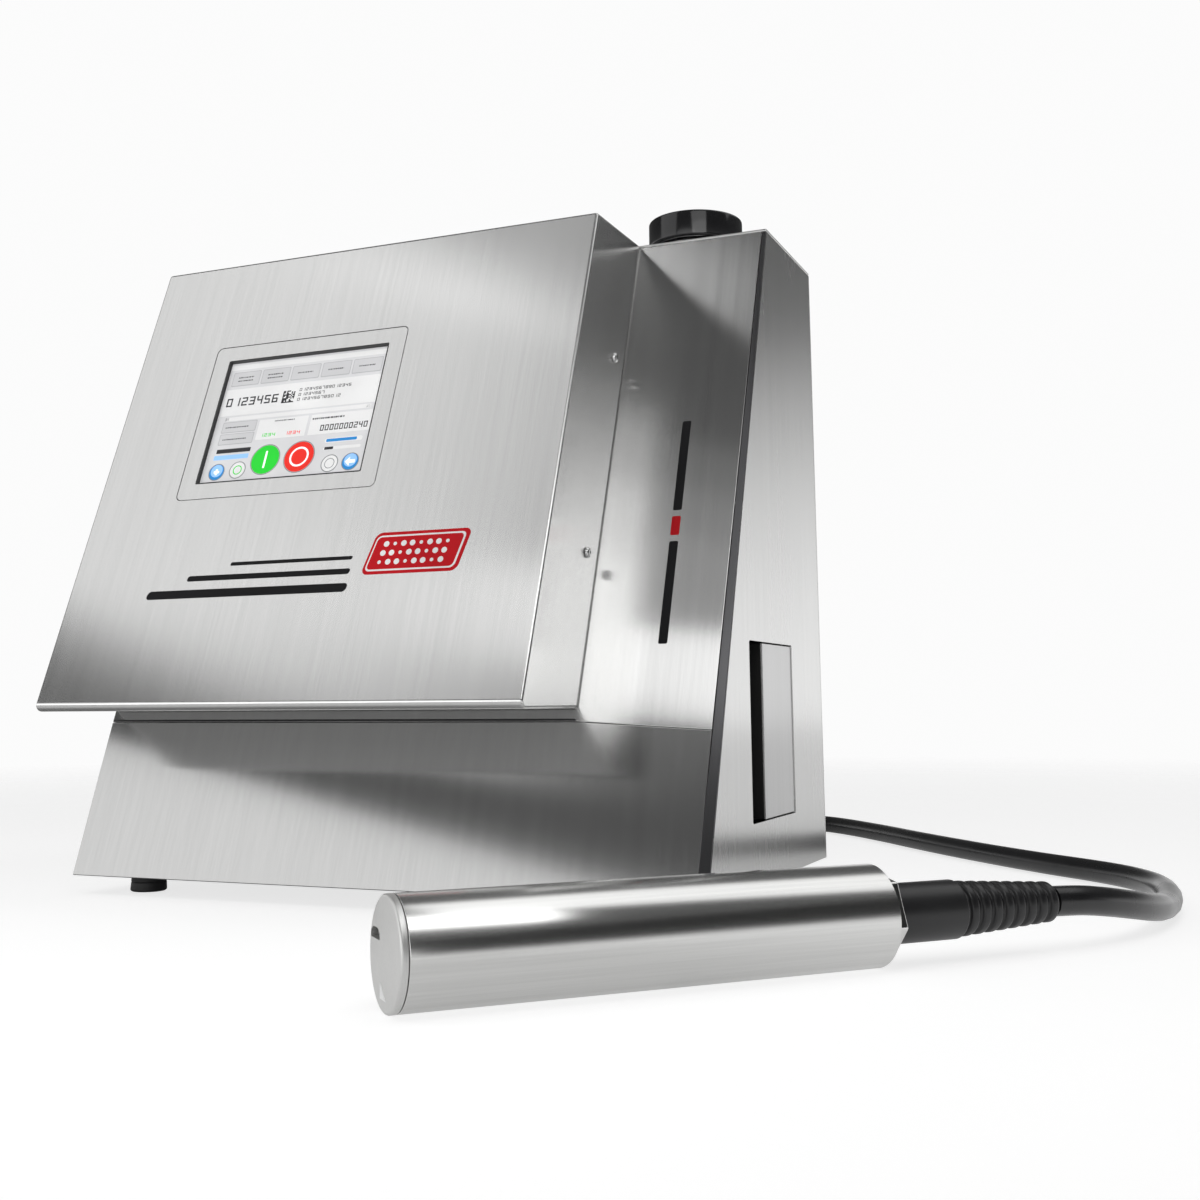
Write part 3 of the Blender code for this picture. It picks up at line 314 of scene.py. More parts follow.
def rounded(low, high, corner, points=5):
    """A rectangle with round corners."""
    made = []
    for index, (across, along) in enumerate((
        (high[0] - corner, low[1] + corner), (high[0] - corner, high[1] - corner),
        (low[0] + corner, high[1] - corner), (low[0] + corner, low[1] + corner),
    )):
        for step in range(points + 1):
            made.append(polar(corner, 90 * (index - 1 + step / points), (across, along)))
    return made


def softened(profile, radius, points=3, closed=True):
    """The same outline with each corner replaced by a short curve."""
    made = []
    count = len(profile)
    for index, (x, y) in enumerate(profile):
        if not closed and index in (0, count - 1):
            made.append((x, y))
            continue
        here = Vector((x, y))
        back, ahead = Vector(profile[index - 1]) - here, Vector(profile[(index + 1) % count]) - here
        reach = min(radius, back.length * 0.45, ahead.length * 0.45)
        start, end = here + back.normalized() * reach, here + ahead.normalized() * reach
        for step in range(points + 1):
            t = step / points
            made.append(tuple(start * (1 - t) ** 2 + here * 2 * t * (1 - t) + end * t ** 2))
    return made


def at(x, y, z):
    return Matrix.Translation((x, y, z))


def turned(degrees, axis):
    return Matrix.Rotation(math.radians(degrees), 4, axis)


def front_at(height):
    """Where the leaning front is, at this height."""
    return CABINET_FRONT + (height - FOOT_HEIGHT) * math.tan(LEAN)


def leaning_plane(place):
    """A plane here that leans back with the front: x across, y up the slope, z outward."""
    return Matrix.Translation(place) @ Matrix.Rotation(math.radians(90) - LEAN, 4, "X")


SIDE_PLANE = Matrix(((0, 0, 1, 0), (1, 0, 0, 0), (0, 1, 0, 0), (0, 0, 0, 1)))
HOUSING_FOOT = Vector((HOUSING_LEFT, front_at(HOUSING_BOTTOM) - HOUSING_DEPTH, HOUSING_BOTTOM))


# ---- solid shapes
def prism(outline, thickness, matrix=Matrix.Identity(4), shape=None):
    """A plate with this outline, in the XY plane with its thickness along Z, moved by the matrix."""
    shape = shape or bmesh.new()
    low, high = ([shape.verts.new(matrix @ Vector((x, y, level))) for x, y in outline]
                 for level in (-thickness / 2, thickness / 2))
    shape.faces.new(list(reversed(low)))
    shape.faces.new(high)
    for index in range(len(outline)):
        after = (index + 1) % len(outline)
        shape.faces.new((low[index], low[after], high[after], high[index]))
    return shape


def block(low, high, matrix=Matrix.Identity(4)):
    """A box between two corners."""
    base = [(low[0], low[1]), (high[0], low[1]), (high[0], high[1]), (low[0], high[1])]
    return prism(base, high[2] - low[2], matrix @ at(0, 0, (low[2] + high[2]) / 2))


def lathe(profile, steps, matrix=Matrix.Identity(4), shape=None):
    """Turns (radius, height) points about Z. A profile that starts off the axis is closed."""
    shape = shape or bmesh.new()
    rings = []
    for radius, height in profile:
        points = circle(radius, steps) if radius else [(0.0, 0.0)]
        rings.append([shape.verts.new(matrix @ Vector((x, y, height))) for x, y in points])
    pairs = list(zip(rings, rings[1:]))
    if profile[0][0]:
        pairs.append((rings[-1], rings[0]))
    for first, second in pairs:
        for step in range(steps):
            corners = dict.fromkeys((
                first[step % len(first)], first[(step + 1) % len(first)],
                second[(step + 1) % len(second)], second[step % len(second)],
            ))
            if len(corners) > 2:
                shape.faces.new(list(corners))
    bmesh.ops.recalc_face_normals(shape, faces=shape.faces)
    return shape


def mesh_of(name, shape, move=Matrix.Identity(4)):
    """Turns a bmesh into a mesh, moved by a matrix."""
    bmesh.ops.transform(shape, matrix=move, verts=shape.verts)
    shape.normal_update()
    mesh = bpy.data.meshes.new(name)
    shape.to_mesh(mesh)
    shape.free()
    return mesh


# ---- pieces
def grain_uv(mesh, direction, spare):
    """A map whose U runs across the grain, for the highlights to stretch along."""
    layer = mesh.uv_layers.get("grain") or mesh.uv_layers.new(name="grain")
    direction, spare = Vector(direction).normalized(), Vector(spare).normalized()
    for face in mesh.polygons:
        normal = face.normal
        along = direction if abs(normal.dot(direction)) < 0.9 else spare
        across = normal.cross(along).normalized()
        along = across.cross(normal)
        for loop in face.loop_indices:
            corner = mesh.vertices[mesh.loops[loop].vertex_index].co
            layer.data[loop].uv = (corner.dot(across) * 10, corner.dot(along) * 10)


def modify(made, name, kind, **settings):
    step = made.modifiers.new(name, kind)
    for key, value in settings.items():
        setattr(step, key, value)


def apply_modifiers(made):
    bpy.context.view_layer.update()
    graph = bpy.context.evaluated_depsgraph_get()
    result = bpy.data.meshes.new_from_object(made.evaluated_get(graph))
    made.modifiers.clear()
    made.data = result


def weigh(made):
    modify(made, "flat_faces", "WEIGHTED_NORMAL", keep_sharp=True, weight=90)


def finish_mesh(made, edge=0.0, segments=3, grain=UP, spare=ACROSS, smooth=32):
    """Softens the sharp edges, keeps flat faces flat in their shading, and maps the grain on the result."""
    if edge:
        modify(made, "soft_edges", "BEVEL", width=edge, segments=segments, limit_method="ANGLE",
               angle_limit=math.radians(smooth), miter_outer="MITER_ARC")
        apply_modifiers(made)
    made.data.shade_smooth()
    made.data.set_sharp_from_angle(angle=math.radians(smooth))
    grain_uv(made.data, grain, spare)
    if edge:
        weigh(made)


def put(name, shape, surface, node=None, body="cabinet", move=MOVE, slot=None, **finish):
    """Turns a bmesh in the cabinet's frame into a piece that rides on a body and stands for a CAD node."""
    made = add_object(name, mesh_of(name, shape, move))
    made.data.materials.append(surface)
    finish_mesh(made, **finish)
    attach(made, body)
    if node:
        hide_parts(node)
    return made


def spin(name, profile, steps, place, surface, node=None, body="cabinet", corner=0.0, points=3, **finish):
    """A piece turned about Z, with the corners of its profile softened."""
    if corner:
        profile = softened(profile, corner, points, profile[0][0] > 0)
    return put(name, lathe(profile, steps, place), surface, node, body, **finish)


def refined(node, surface, body="cabinet", edge=0.0005, segments=2, **finish):
    """The CAD node's own shape; where an edge is given, its flat faces are joined and its edges softened."""
    shape = bmesh.new()
    shape.from_mesh(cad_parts[node].data)
    bmesh.ops.remove_doubles(shape, verts=shape.verts, dist=0.00001)
    if edge:
        bmesh.ops.dissolve_limit(shape, angle_limit=math.radians(0.6), verts=shape.verts, edges=shape.edges)
    for layer in list(shape.loops.layers.uv.values()):
        shape.loops.layers.uv.remove(layer)
    put(node + "_skin", shape, surface, node, body, Matrix.Identity(4), edge=edge, segments=segments,
        **finish)


def cut_with(made, shape):
    """Cuts a bmesh, given in the cabinet's frame, out of a piece, and applies the cut."""
    bmesh.ops.recalc_face_normals(shape, faces=shape.faces)
    cutter = add_object("cutter", mesh_of("cutter", shape, MOVE))
    modify(made, "cut", "BOOLEAN", operation="DIFFERENCE", object=cutter, solver="EXACT")
    apply_modifiers(made)
    bpy.data.objects.remove(cutter, do_unlink=True)


# ---- the umbilical
CORD_ROUTE = (
    (0.3545, -0.116, 0.0207), (0.366, -0.103, 0.02), (0.376, -0.089, 0.018),
    (0.3855, -0.07, 0.0148), (0.3925, -0.047, 0.0112), (0.397, -0.021, 0.0083),
    (0.399, 0.008, 0.007), (0.398, 0.04, 0.0067), (0.392, 0.074, 0.0067),
    (0.378, 0.106, 0.0067), (0.357, 0.134, 0.0067), (0.32, 0.172, 0.0067),
    (0.276, 0.223, 0.0067), (0.232, 0.279, 0.0067), (0.186, 0.342, 0.0067),
    (0.15, 0.387, 0.0067), (0.123, 0.413, 0.0067), (0.096, 0.425, 0.0067),
    (0.072, 0.4285, 0.0067), (0.05, 0.4265, 0.0067),
)
TAIL_ROUTE = (
    (-0.087, 0.3, 0.023), (-0.088, 0.275, 0.016), (-0.085, 0.25, 0.0105),
    (-0.08, 0.225, 0.0085), (-0.075, 0.205, 0.011), (-0.0725, 0.188, 0.019),
    (-0.072, 0.172, 0.0285), (-0.072, 0.156, 0.0345), (-0.072, 0.1435, 0.036),
)
GLAND_INSIDE = (-0.072, 0.13, 0.036)
COIL_CENTRE = (0.0, 0.345)
COIL_RADIUS = 0.072
COIL_TURNS = 2.25
COIL_STEPS = 28
COIL_RISE = 2 * CORD_RADIUS + 0.0002
CLIMB_FROM = 0.78
TIE_WIDTH = 0.011
TIE_THICKNESS = 0.001
TIE_REACH = 0.014
TIE_PLACES = (20, 150, 265)


def coil_points():
    """Turns that lie on each other: each climbs onto the one below in the last fifth of its round."""
    made = []
    for step in range(int(COIL_TURNS * COIL_STEPS) + 1):
        part, whole = math.modf(step / COIL_STEPS)
        climb = max(0.0, (part - CLIMB_FROM) / (1 - CLIMB_FROM))
        climb = climb * climb * (3 - 2 * climb)
        x, y = polar(COIL_RADIUS, 90 + 360 * step / COIL_STEPS, COIL_CENTRE)
        made.append(Vector((x, y, CORD_ROUTE[-1][2] + COIL_RISE * (whole + climb))))
    return made


def smooth_points(route, steps=8):
    """A Catmull-Rom curve through the route's points."""
    points = [Vector(point) for point in route]
    padded = [2 * points[0] - points[1]] + points + [2 * points[-1] - points[-2]]
    made = []
    for index in range(1, len(padded) - 2):
        before, start, end, after = padded[index - 1:index + 3]
        for step in range(steps):
            t = step / steps
            made.append(
                0.5 * (2 * start + (end - before) * t + (2 * before - 5 * start + 4 * end - after) * t ** 2
                       + (3 * start - before - 3 * end + after) * t ** 3)
            )
    return made + [points[-1]]


def umbilical():
    route = smooth_points([*CORD_ROUTE, *coil_points(), *TAIL_ROUTE, GLAND_INSIDE])
    curve = bpy.data.curves.new("umbilical", "CURVE")
    curve.dimensions = "3D"
    curve.bevel_depth = CORD_RADIUS
    curve.bevel_resolution = 5
    curve.use_fill_caps = True
    spline = curve.splines.new("POLY")
    spline.points.add(len(route) - 1)
    for place, point in zip(spline.points, route):
        place.co = (*(point + SHIFT), 1.0)
    spline.use_smooth = True
    cord = add_object("umbilical", curve)
    curve.materials.append(JACKET)
    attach(cord, "cabinet")
    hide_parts("umbilical_run", "umbilical_tail", "umbilical_coil")
    [coil_tie(degrees) for degrees in TIE_PLACES]


def coil_tie(degrees):
    """A strap round all the turns of the coil."""
    middle = Vector(polar(COIL_RADIUS, degrees, COIL_CENTRE))
    place = at(*middle, 0) @ turned(degrees, "Z") @ turned(90, "X")
    half = CORD_RADIUS + 0.0004
    crest = max(point.z for point in coil_points() if (point.xy - middle).length < TIE_REACH)
    top = crest + CORD_RADIUS + 0.0006
    outer = rounded((-half - TIE_THICKNESS, 0.0), (half + TIE_THICKNESS, top + TIE_THICKNESS), half, 8)
    inner = rounded((-half, TIE_THICKNESS), (half, top), half - TIE_THICKNESS, 8)
    strap = put(f"coil_tie_{degrees}", prism(outer, TIE_WIDTH, place), RUBBER)
    cut_with(strap, prism(inner, TIE_WIDTH * 1.2, place))
    finish_mesh(strap, 0.0002, 2)
    return strap


umbilical()


# ---- stage and light
FLOOR_SOLID_RADIUS = 0.75
FLOOR_CLEAR_RADIUS = 2.2
FLOOR_GLOW = 0.74
TABLE_RADIUS = 6.0
TABLE_TONE = 0.35
TABLE_GLOW = (0.06, 0.74)
TABLE_DULL_TO = -0.05
TABLE_BRIGHT_FROM = 0.35
TABLE_FRONT_EDGE = (-0.16, -0.08)
TABLE_FRONT_GLOW = 0.42
WORLD_PALE = 0.97
HORIZON = (
    (-90, 0.8), (0, 1.3), (4, 1.18), (8, 0.95), (12, 0.55), (15, 0.16), (19, 0.09), (60, 0.1), (90, 0.25),
)

# Each light: its centre, the point that it faces, its width and height, and its radiance. White paper is 1.
LIGHTS = {
    "key_panel": ((-0.5, -0.45, 0.74), (0.3, 0.4, 0.15), (0.7, 0.56), 0.98),
    "upper_card": ((-0.17, -0.33, 0.89), (0.0, -0.05, 0.36), (0.22, 0.24), 0.75),
    "wedge_lamp": ((-0.523, -0.241, 0.978), (0.155, 0.0, 0.36), (0.05, 0.26), 118.0),
    "front_strip": ((0.1, -0.56, 0.515), (0.15, -0.1, 0.15), (0.46, 0.09), 1.05),
    "low_panel": ((-0.27, -0.6, 0.181), (0.01, -0.1, 0.03), (1.00, 0.258), 0.82),
    "overhead": ((0.62, 0.18, 1.1), (0.25, -0.25, 0.0), (0.8, 1.1), 1.1),
}
# These fade out at the top, over the last value's share of their height.
FADING_LIGHTS = {
    "column_card": ((-0.03, -0.43, 0.52), (0.155, -0.05, 0.2), (0.3, 0.2), 0.26, 0.25),
    "right_card": ((0.4, -0.46, 0.545), (0.12, -0.07, 0.16), (0.34, 0.28), 2.45, 0.3),
}
FLAG = ((1.05, -0.42, 0.3), (0.2, -0.25, 0.3), (1.1, 0.52))
COLUMN_ONLY = ("wedge_lamp", "column_card_0", "column_card_1", "column_card_2")
NEVER_COLUMN = ("key_panel", "upper_card")


def floor_disc(name, radius, level, glow, colour=None):
    """A round sheet of paper that gives some light of its own; its tone is uneven where it has no colour."""
    shape = bmesh.new()
    bmesh.ops.create_circle(shape, cap_ends=True, segments=96, radius=radius)
    floor = add_object(name, mesh_of(name, shape))
    floor.location = (0.0, 0.0, level)
    made = Surface(name + "_paper", colour or grey(0.92), 0.9, Emission_Color=(1.0, 1.0, 1.0, 1.0),
                   Emission_Strength=glow)
    if not colour:
        feed(made.shader, Base_Color=made.blend(made.noise(made.place(), 3.0), grey(0.42), grey(0.45)))
    floor.data.materials.append(made.material)
    return floor, made


def add_stage():
    """A pale floor that fades into the background, and under it the duller table that the steel mirrors."""
    seen, paper = floor_disc("studio_floor", FLOOR_CLEAR_RADIUS, -0.0002, FLOOR_GLOW)
    distance = paper.node("ShaderNodeVectorMath", operation="LENGTH", Vector=paper.coordinates())
    solid = paper.ranged(distance.outputs["Value"], 1.0, 0.0, FLOOR_SOLID_RADIUS, FLOOR_CLEAR_RADIUS)
    feed(paper.shader, Alpha=solid)
    seen.visible_glossy = False
    seen.visible_diffuse = False
    seen.visible_shadow = False
    mirrored, table = floor_disc("studio_table", TABLE_RADIUS, -0.0004, 0.0, grey(TABLE_TONE))
    mirrored.visible_camera = False
    place = table.node("ShaderNodeSeparateXYZ", Vector=table.coordinates())
    right = table.ranged(place.outputs["X"], *TABLE_GLOW, TABLE_DULL_TO, TABLE_BRIGHT_FROM)
    front = table.ranged(place.outputs["Y"], TABLE_FRONT_GLOW, TABLE_GLOW[0], *TABLE_FRONT_EDGE)
    feed(table.shader, Emission_Strength=table.total(right, front, "MAXIMUM"))


def aim_at(made, centre, aim):
    """Stands a light or a board at its centre, facing a point, out of the camera's sight."""
    made.location = Vector(centre) + SHIFT
    made.rotation_euler = (Vector(aim) - Vector(centre)).to_track_quat("-Z", "Y").to_euler()
    made.visible_camera = False


def add_card(name, centre, aim, size, radiance):
    data = bpy.data.lights.new(name, "AREA")
    data.shape = "RECTANGLE"
    data.size, data.size_y = size
    data.energy = radiance * math.pi * size[0] * size[1]
    aim_at(add_object(name, data), centre, aim)


def add_fading_card(name, centre, aim, size, radiance, spread):
    """Three cards with one lower edge and different heights, so that the light fades out at the top."""
    for index in range(3):
        growth = size[1] * spread * (index - 1)
        raised = Vector(centre) + Vector((0, 0, growth / 2))
        add_card(f"{name}_{index}", raised, aim, (size[0], size[1] + growth), radiance / 3)


def add_flag(name, centre, aim, size):
    """A black board, for a dark band in the round steel."""
    shape = bmesh.new()
    bmesh.ops.create_grid(shape, x_segments=1, y_segments=1, size=0.5)
    bmesh.ops.scale(shape, vec=(*size, 1.0), verts=shape.verts)
    board = add_object(name, mesh_of(name, shape))
    board.data.materials.append(moulded("flag_cloth", grey(0.01), 0.9, 600.0, 0.2))
    aim_at(board, centre, aim)


def add_world():
    """Pale to the camera. To everything else, a bright horizon under a dim sky, as in a low studio."""
    world = bpy.data.worlds.new("studio")
    bpy.context.scene.world = world
    world.use_nodes = True
    nodes = world.node_tree.nodes
    nodes.clear()

    def node(kind, **values):
        return feed(nodes.new("ShaderNode" + kind), **values)

    split = node("SeparateXYZ", Vector=node("TexCoord").outputs["Generated"])
    steepness = node("Math", operation="ARCSINE", Value=split.outputs["Z"])
    halved = node("MapRange", From_Min=-math.pi / 2, From_Max=math.pi / 2, Value=steepness.outputs["Value"])
    ramp = node("ValToRGB", Fac=halved.outputs["Result"])
    while len(ramp.color_ramp.elements) < len(HORIZON):
        ramp.color_ramp.elements.new(0.5)
    for element, (degrees, level) in zip(ramp.color_ramp.elements, HORIZON):
        element.position = (degrees + 90) / 180
        element.color = (*grey(level), 1.0)
    around = node("Background", Color=ramp.outputs["Color"])
    seen = node("Background", Color=(*grey(WORLD_PALE), 1.0))
    mixed = node("MixShader", Fac=node("LightPath").outputs["Is Camera Ray"])
    for source, target in ((around, mixed.inputs[1]), (seen, mixed.inputs[2])):
        world.node_tree.links.new(source.outputs["Background"], target)
    node("OutputWorld", Surface=mixed.outputs["Shader"])


add_stage()
add_world()
for light_name, light_settings in LIGHTS.items():
    add_card(light_name, *light_settings)
for light_name, light_settings in FADING_LIGHTS.items():
    add_fading_card(light_name, *light_settings)
add_flag("right_flag", *FLAG)
bpy.context.scene.view_settings.view_transform = "Standard"
bpy.context.scene.view_settings.look = "None"


# ---- display housing
def housing_section(inset, back):
    """The housing's section as (y, z): leaning front with a bent lower edge, level top and bottom."""
    bottom, top = HOUSING_BOTTOM + inset, CABINET_TOP - inset
    radius = max(HOUSING_BEND - inset, 0.002)

    def face(height):
        return front_at(height) - HOUSING_DEPTH + inset / math.cos(LEAN)

    corner = Vector((face(bottom), bottom))
    reach = radius / math.tan((math.radians(90) - LEAN) / 2)
    start = corner + Vector((math.sin(LEAN), math.cos(LEAN))) * reach
    centre = start + Vector((math.cos(LEAN), -math.sin(LEAN))) * radius
    steps = 14
    lean = math.degrees(LEAN)
    points = [polar(radius, 180 - lean + (90 + lean) * step / steps, centre) for step in range(steps + 1)]
    return points + [(front_at(bottom) + back, bottom), (front_at(top) + back, top), (face(top), top)]


def screen_place(depth=0.0):
    """The screen's plane, from its lower left corner, this far behind the housing's front."""
    return leaning_plane(HOUSING_FOOT) @ at(*SCREEN_OFFSET, -depth)


def screen_outline(margin, corner, points):
    """The screen's rectangle, made larger by a margin on each side."""
    across, along = margin if isinstance(margin, tuple) else (margin, margin)
    return rounded((-across, -along), (SCREEN_WIDTH + across, SCREEN_HEIGHT + along), corner, points)


def screw_place(side, height, lift=0.0):
    """The axis of a housing screw, pointing out of the side wall."""
    wall, outward = (HOUSING_LEFT, -1) if side == "left" else (HOUSING_RIGHT, 1)
    stand = at(wall + outward * lift, front_at(height) - SCREW_FORWARD, height)
    return stand @ turned(90 * outward, "Y")


def display_housing():
    width = HOUSING_RIGHT - HOUSING_LEFT
    place = at((HOUSING_RIGHT + HOUSING_LEFT) / 2, 0, 0) @ SIDE_PLANE
    shell = put("housing_shell", prism(housing_section(0.0, -GAP), width, place), HOUSING_STEEL,
                "display_housing", edge=0.0016, segments=4, smooth=40)
    apply_modifiers(shell)
    # The level top faces get the top steel, and the underside faces the darker steel of painted shade.
    shell.data.materials.append(TOP_STEEL)
    shell.data.materials.append(SHADED_UNDER_STEEL)
    for face in shell.data.polygons:
        if abs(face.normal.z) > 0.95:
            face.material_index = 1 if face.normal.z > 0 else 2
    cut_with(shell, prism(housing_section(SHEET, 0.02), width - 2 * SHEET, place))
    cut_with(shell, prism(screen_outline(FRAME_BORDER, 0.004, 8), 0.01, screen_place()))
    hole = [(0.0, -0.005), (SCREW_BORE, -0.005), (SCREW_BORE, 0.005), (0.0, 0.005)]
    for height in SCREW_HEIGHTS.values():
        for side in ("left", "right"):
            cut_with(shell, lathe(hole, 24, screw_place(side, height)))
    finish_mesh(shell, smooth=30)
    weigh(shell)


def bezel():
    """The steel frame round the screen, with a rounded step at its rim, and the black seal inside it."""
    gap = 0.0004
    outer = screen_outline((FRAME_BORDER[0] - gap, FRAME_BORDER[1] - gap), 0.0036, 8)
    made = put("screen_frame", prism(outer, 0.0024, screen_place(0.0012)), HOUSING_STEEL, "display_frame")
    cut_with(made, prism(screen_outline(0.0, 0.0008, 4), 0.01, screen_place()))
    finish_mesh(made, 0.0003, 2)
    seal = put("screen_seal", prism(screen_outline(-0.0001, 0.0008, 4), 0.0027, screen_place(0.0016)),
               SATIN_BLACK)
    cut_with(seal, prism(screen_outline(-0.0008, 0.0006, 4), 0.01, screen_place()))


# ---- what the screen shows, in millimetres from its corner
MM = 0.001
GLASS_DEPTH = 0.0026
LAYER = 0.00003
SCREEN_GLOW = 0.42
BUTTON_LINES = {4.2: 2, 26.0: 2, 47.8: 1, 69.6: 1, 91.4: 1}
LABEL_ROWS = (35.6, 27.2)
START, STOP = (44.6, 14.6), (68.4, 14.6)
SERVICE, NOZZLE, PRINT, BACK = (11.2, 8.6), (26.2, 9.0), (90.8, 8.4), (104.8, 8.5)
CODE_CORNER = (45.4, 53.2)
CODE_CELL = 0.86
CODE_CELLS = 10
NUMERAL_SHARE = 0.74
SEGMENTS = {
    "0": "abcdef", "1": "bc", "2": "abged", "3": "abgcd", "4": "fgbc", "5": "afgcd", "6": "afgedc",
    "7": "abc", "8": "abcdefg", "9": "abfgcd",
}


class Ink:
    """Flat shapes of one colour on the screen, gathered into one mesh."""

    def __init__(self, name, surface, level):
        self.name, self.surface = name, surface
        self.shape = bmesh.new()
        self.place = screen_place(GLASS_DEPTH - level * LAYER)

    def plate(self, points):
        prism([(x * MM, y * MM) for x, y in points], LAYER * 0.9, self.place, self.shape)

    def tile(self, low, high, corner=0.0):
        square = [(low[0], low[1]), (high[0], low[1]), (high[0], high[1]), (low[0], high[1])]
        self.plate(rounded(low, high, corner, 4) if corner else square)

    def tiles(self, *tiles):
        for tile in tiles:
            self.tile(*tile)

    def disc(self, centre, radius, sides=48):
        self.plate(circle(radius, sides, centre))

    def ring(self, centre, outer, inner, sides=48):
        near, far = circle(inner, sides, centre), circle(outer, sides, centre)
        for step in range(sides):
            after = (step + 1) % sides
            self.plate([near[step], far[step], far[after], near[after]])

    def words(self, low, width, height, rng):
        """A line of small type, shown only as a row of dashes."""
        across = low[0]
        while across < low[0] + width:
            run = min(rng.uniform(0.5, 1.5) * height, low[0] + width - across)
            self.tile((across, low[1]), (across + run, low[1] + height))
            across += run + rng.uniform(0.35, 0.7) * height

    def digits(self, text, low, width, height, stroke):
        """Numerals made of seven bars each."""
        pitch = width / len(text)
        y0, y1 = low[1], low[1] + height
        middle, half = (y0 + y1) / 2, stroke / 2
        for index, numeral in enumerate(text):
            x0 = low[0] + index * pitch
            x1 = x0 + pitch * NUMERAL_SHARE
            bars = {
                "a": ((x0, y1 - stroke), (x1, y1)), "d": ((x0, y0), (x1, y0 + stroke)),
                "g": ((x0 + half, middle - half), (x1 - half, middle + half)),
                "f": ((x0, middle), (x0 + stroke, y1)), "b": ((x1 - stroke, middle), (x1, y1)),
                "e": ((x0, y0), (x0 + stroke, middle)), "c": ((x1 - stroke, y0), (x1, middle)),
            }
            self.tiles(*[bars[bar] for bar in SEGMENTS[numeral]])

    def done(self, node=None):
        put(self.name, self.shape, self.surface, node)


def screen_fields():
    """The grey ground, the pale fields on it, and the buttons and labels with their faces."""
    base = Ink("screen_base", lit("lcd_grey", (0.62, 0.62, 0.63), SCREEN_GLOW), 0)
    prism(screen_outline(-0.0005, 0.0008, 4), 0.0006, screen_place(GLASS_DEPTH + 0.0003), base.shape)
    base.done("touch_glass")

    field = Ink("screen_fields", lit("lcd_white", grey(0.74), SCREEN_GLOW), 1)
    wide = SCREEN_WIDTH / MM
    field.tiles(
        ((1.5, 81.0), (wide - 1.5, 84.6), 0.3), ((1.8, 47.8), (wide - 1.8, 66.8), 0.4),
        ((33.2, 28.8), (68.2, 42.6), 0.5), ((70.4, 28.8), (wide - 1.8, 42.6), 0.5),
        ((8.0, 44.0), (110.5, 46.6), 0.3), ((84.0, 17.6), (109.5, 19.6), 0.9),
        ((84.0, 22.4), (109.5, 25.4), 1.2),
    )
    field.disc(NOZZLE, 5.4)
    field.disc(PRINT, 5.4)
    field.done()

    button = Ink("screen_buttons", lit("lcd_button", (0.42, 0.42, 0.43), SCREEN_GLOW), 1)
    face = Ink("screen_button_faces", lit("lcd_button_face", (0.55, 0.55, 0.56), SCREEN_GLOW), 2)
    for low in BUTTON_LINES:
        button.tile((low, 69.0), (low + 20.4, 79.2), 0.8)
        face.tile((low + 0.4, 69.6), (low + 20.0, 78.8), 0.6)
    for low in LABEL_ROWS:
        button.tile((6.4, low), (31.4, low + 7.6), 0.7)
        face.tile((6.8, low + 0.5), (31.0, low + 7.2), 0.5)
    button.tiles(((7.0, 44.2), (9.6, 46.4), 0.2), ((107.4, 44.2), (110.2, 46.4), 0.2))
    button.done()
    face.done()


def screen_ink():
    """The dark marks: rows of dashes for words, numerals, and a square code."""
    rng = random.Random(7)
    ink = Ink("screen_ink", lit("lcd_ink", (0.035, 0.035, 0.04), 0.05), 3)
    for low, lines in BUTTON_LINES.items():
        for line in range(lines):
            ink.words((low + 4.5, 73.6 + 1.1 * (lines - 1) - 2.4 * line), 11.0, 0.8, rng)
    for low in LABEL_ROWS:
        ink.words((9.0, low + 3.3), 17.0, 0.75, rng)
    for row in range(CODE_CELLS):
        for column in range(CODE_CELLS):
            if row == 0 or column == 0 or rng.random() < 0.55:
                x, y = CODE_CORNER[0] + CODE_CELL * column, CODE_CORNER[1] + CODE_CELL * row
                ink.tile((x, y), (x + CODE_CELL, y + CODE_CELL))
    ink.digits("0123456", (4.6, 54.4), 39.0, 5.9, 0.95)
    for text, level, width in (
        ("0123456789012345", 60.6, 37.0), ("01234567", 57.2, 19.0), ("0123456789012", 53.8, 31.0),
    ):
        ink.digits(text, (56.8, level), width, 2.0, 0.34)
    ink.words((44.5, 40.6), 14.0, 0.7, rng)
    ink.words((71.6, 39.2), 22.0, 1.1, rng)
    ink.digits("0000000240", (78.5, 31.0), 33.2, 4.0, 0.62)
    ink.tiles(((7.2, 21.4), (31.8, 24.2), 0.3), ((84.9, 17.7), (90.9, 19.5), 0.4))
    ink.done()


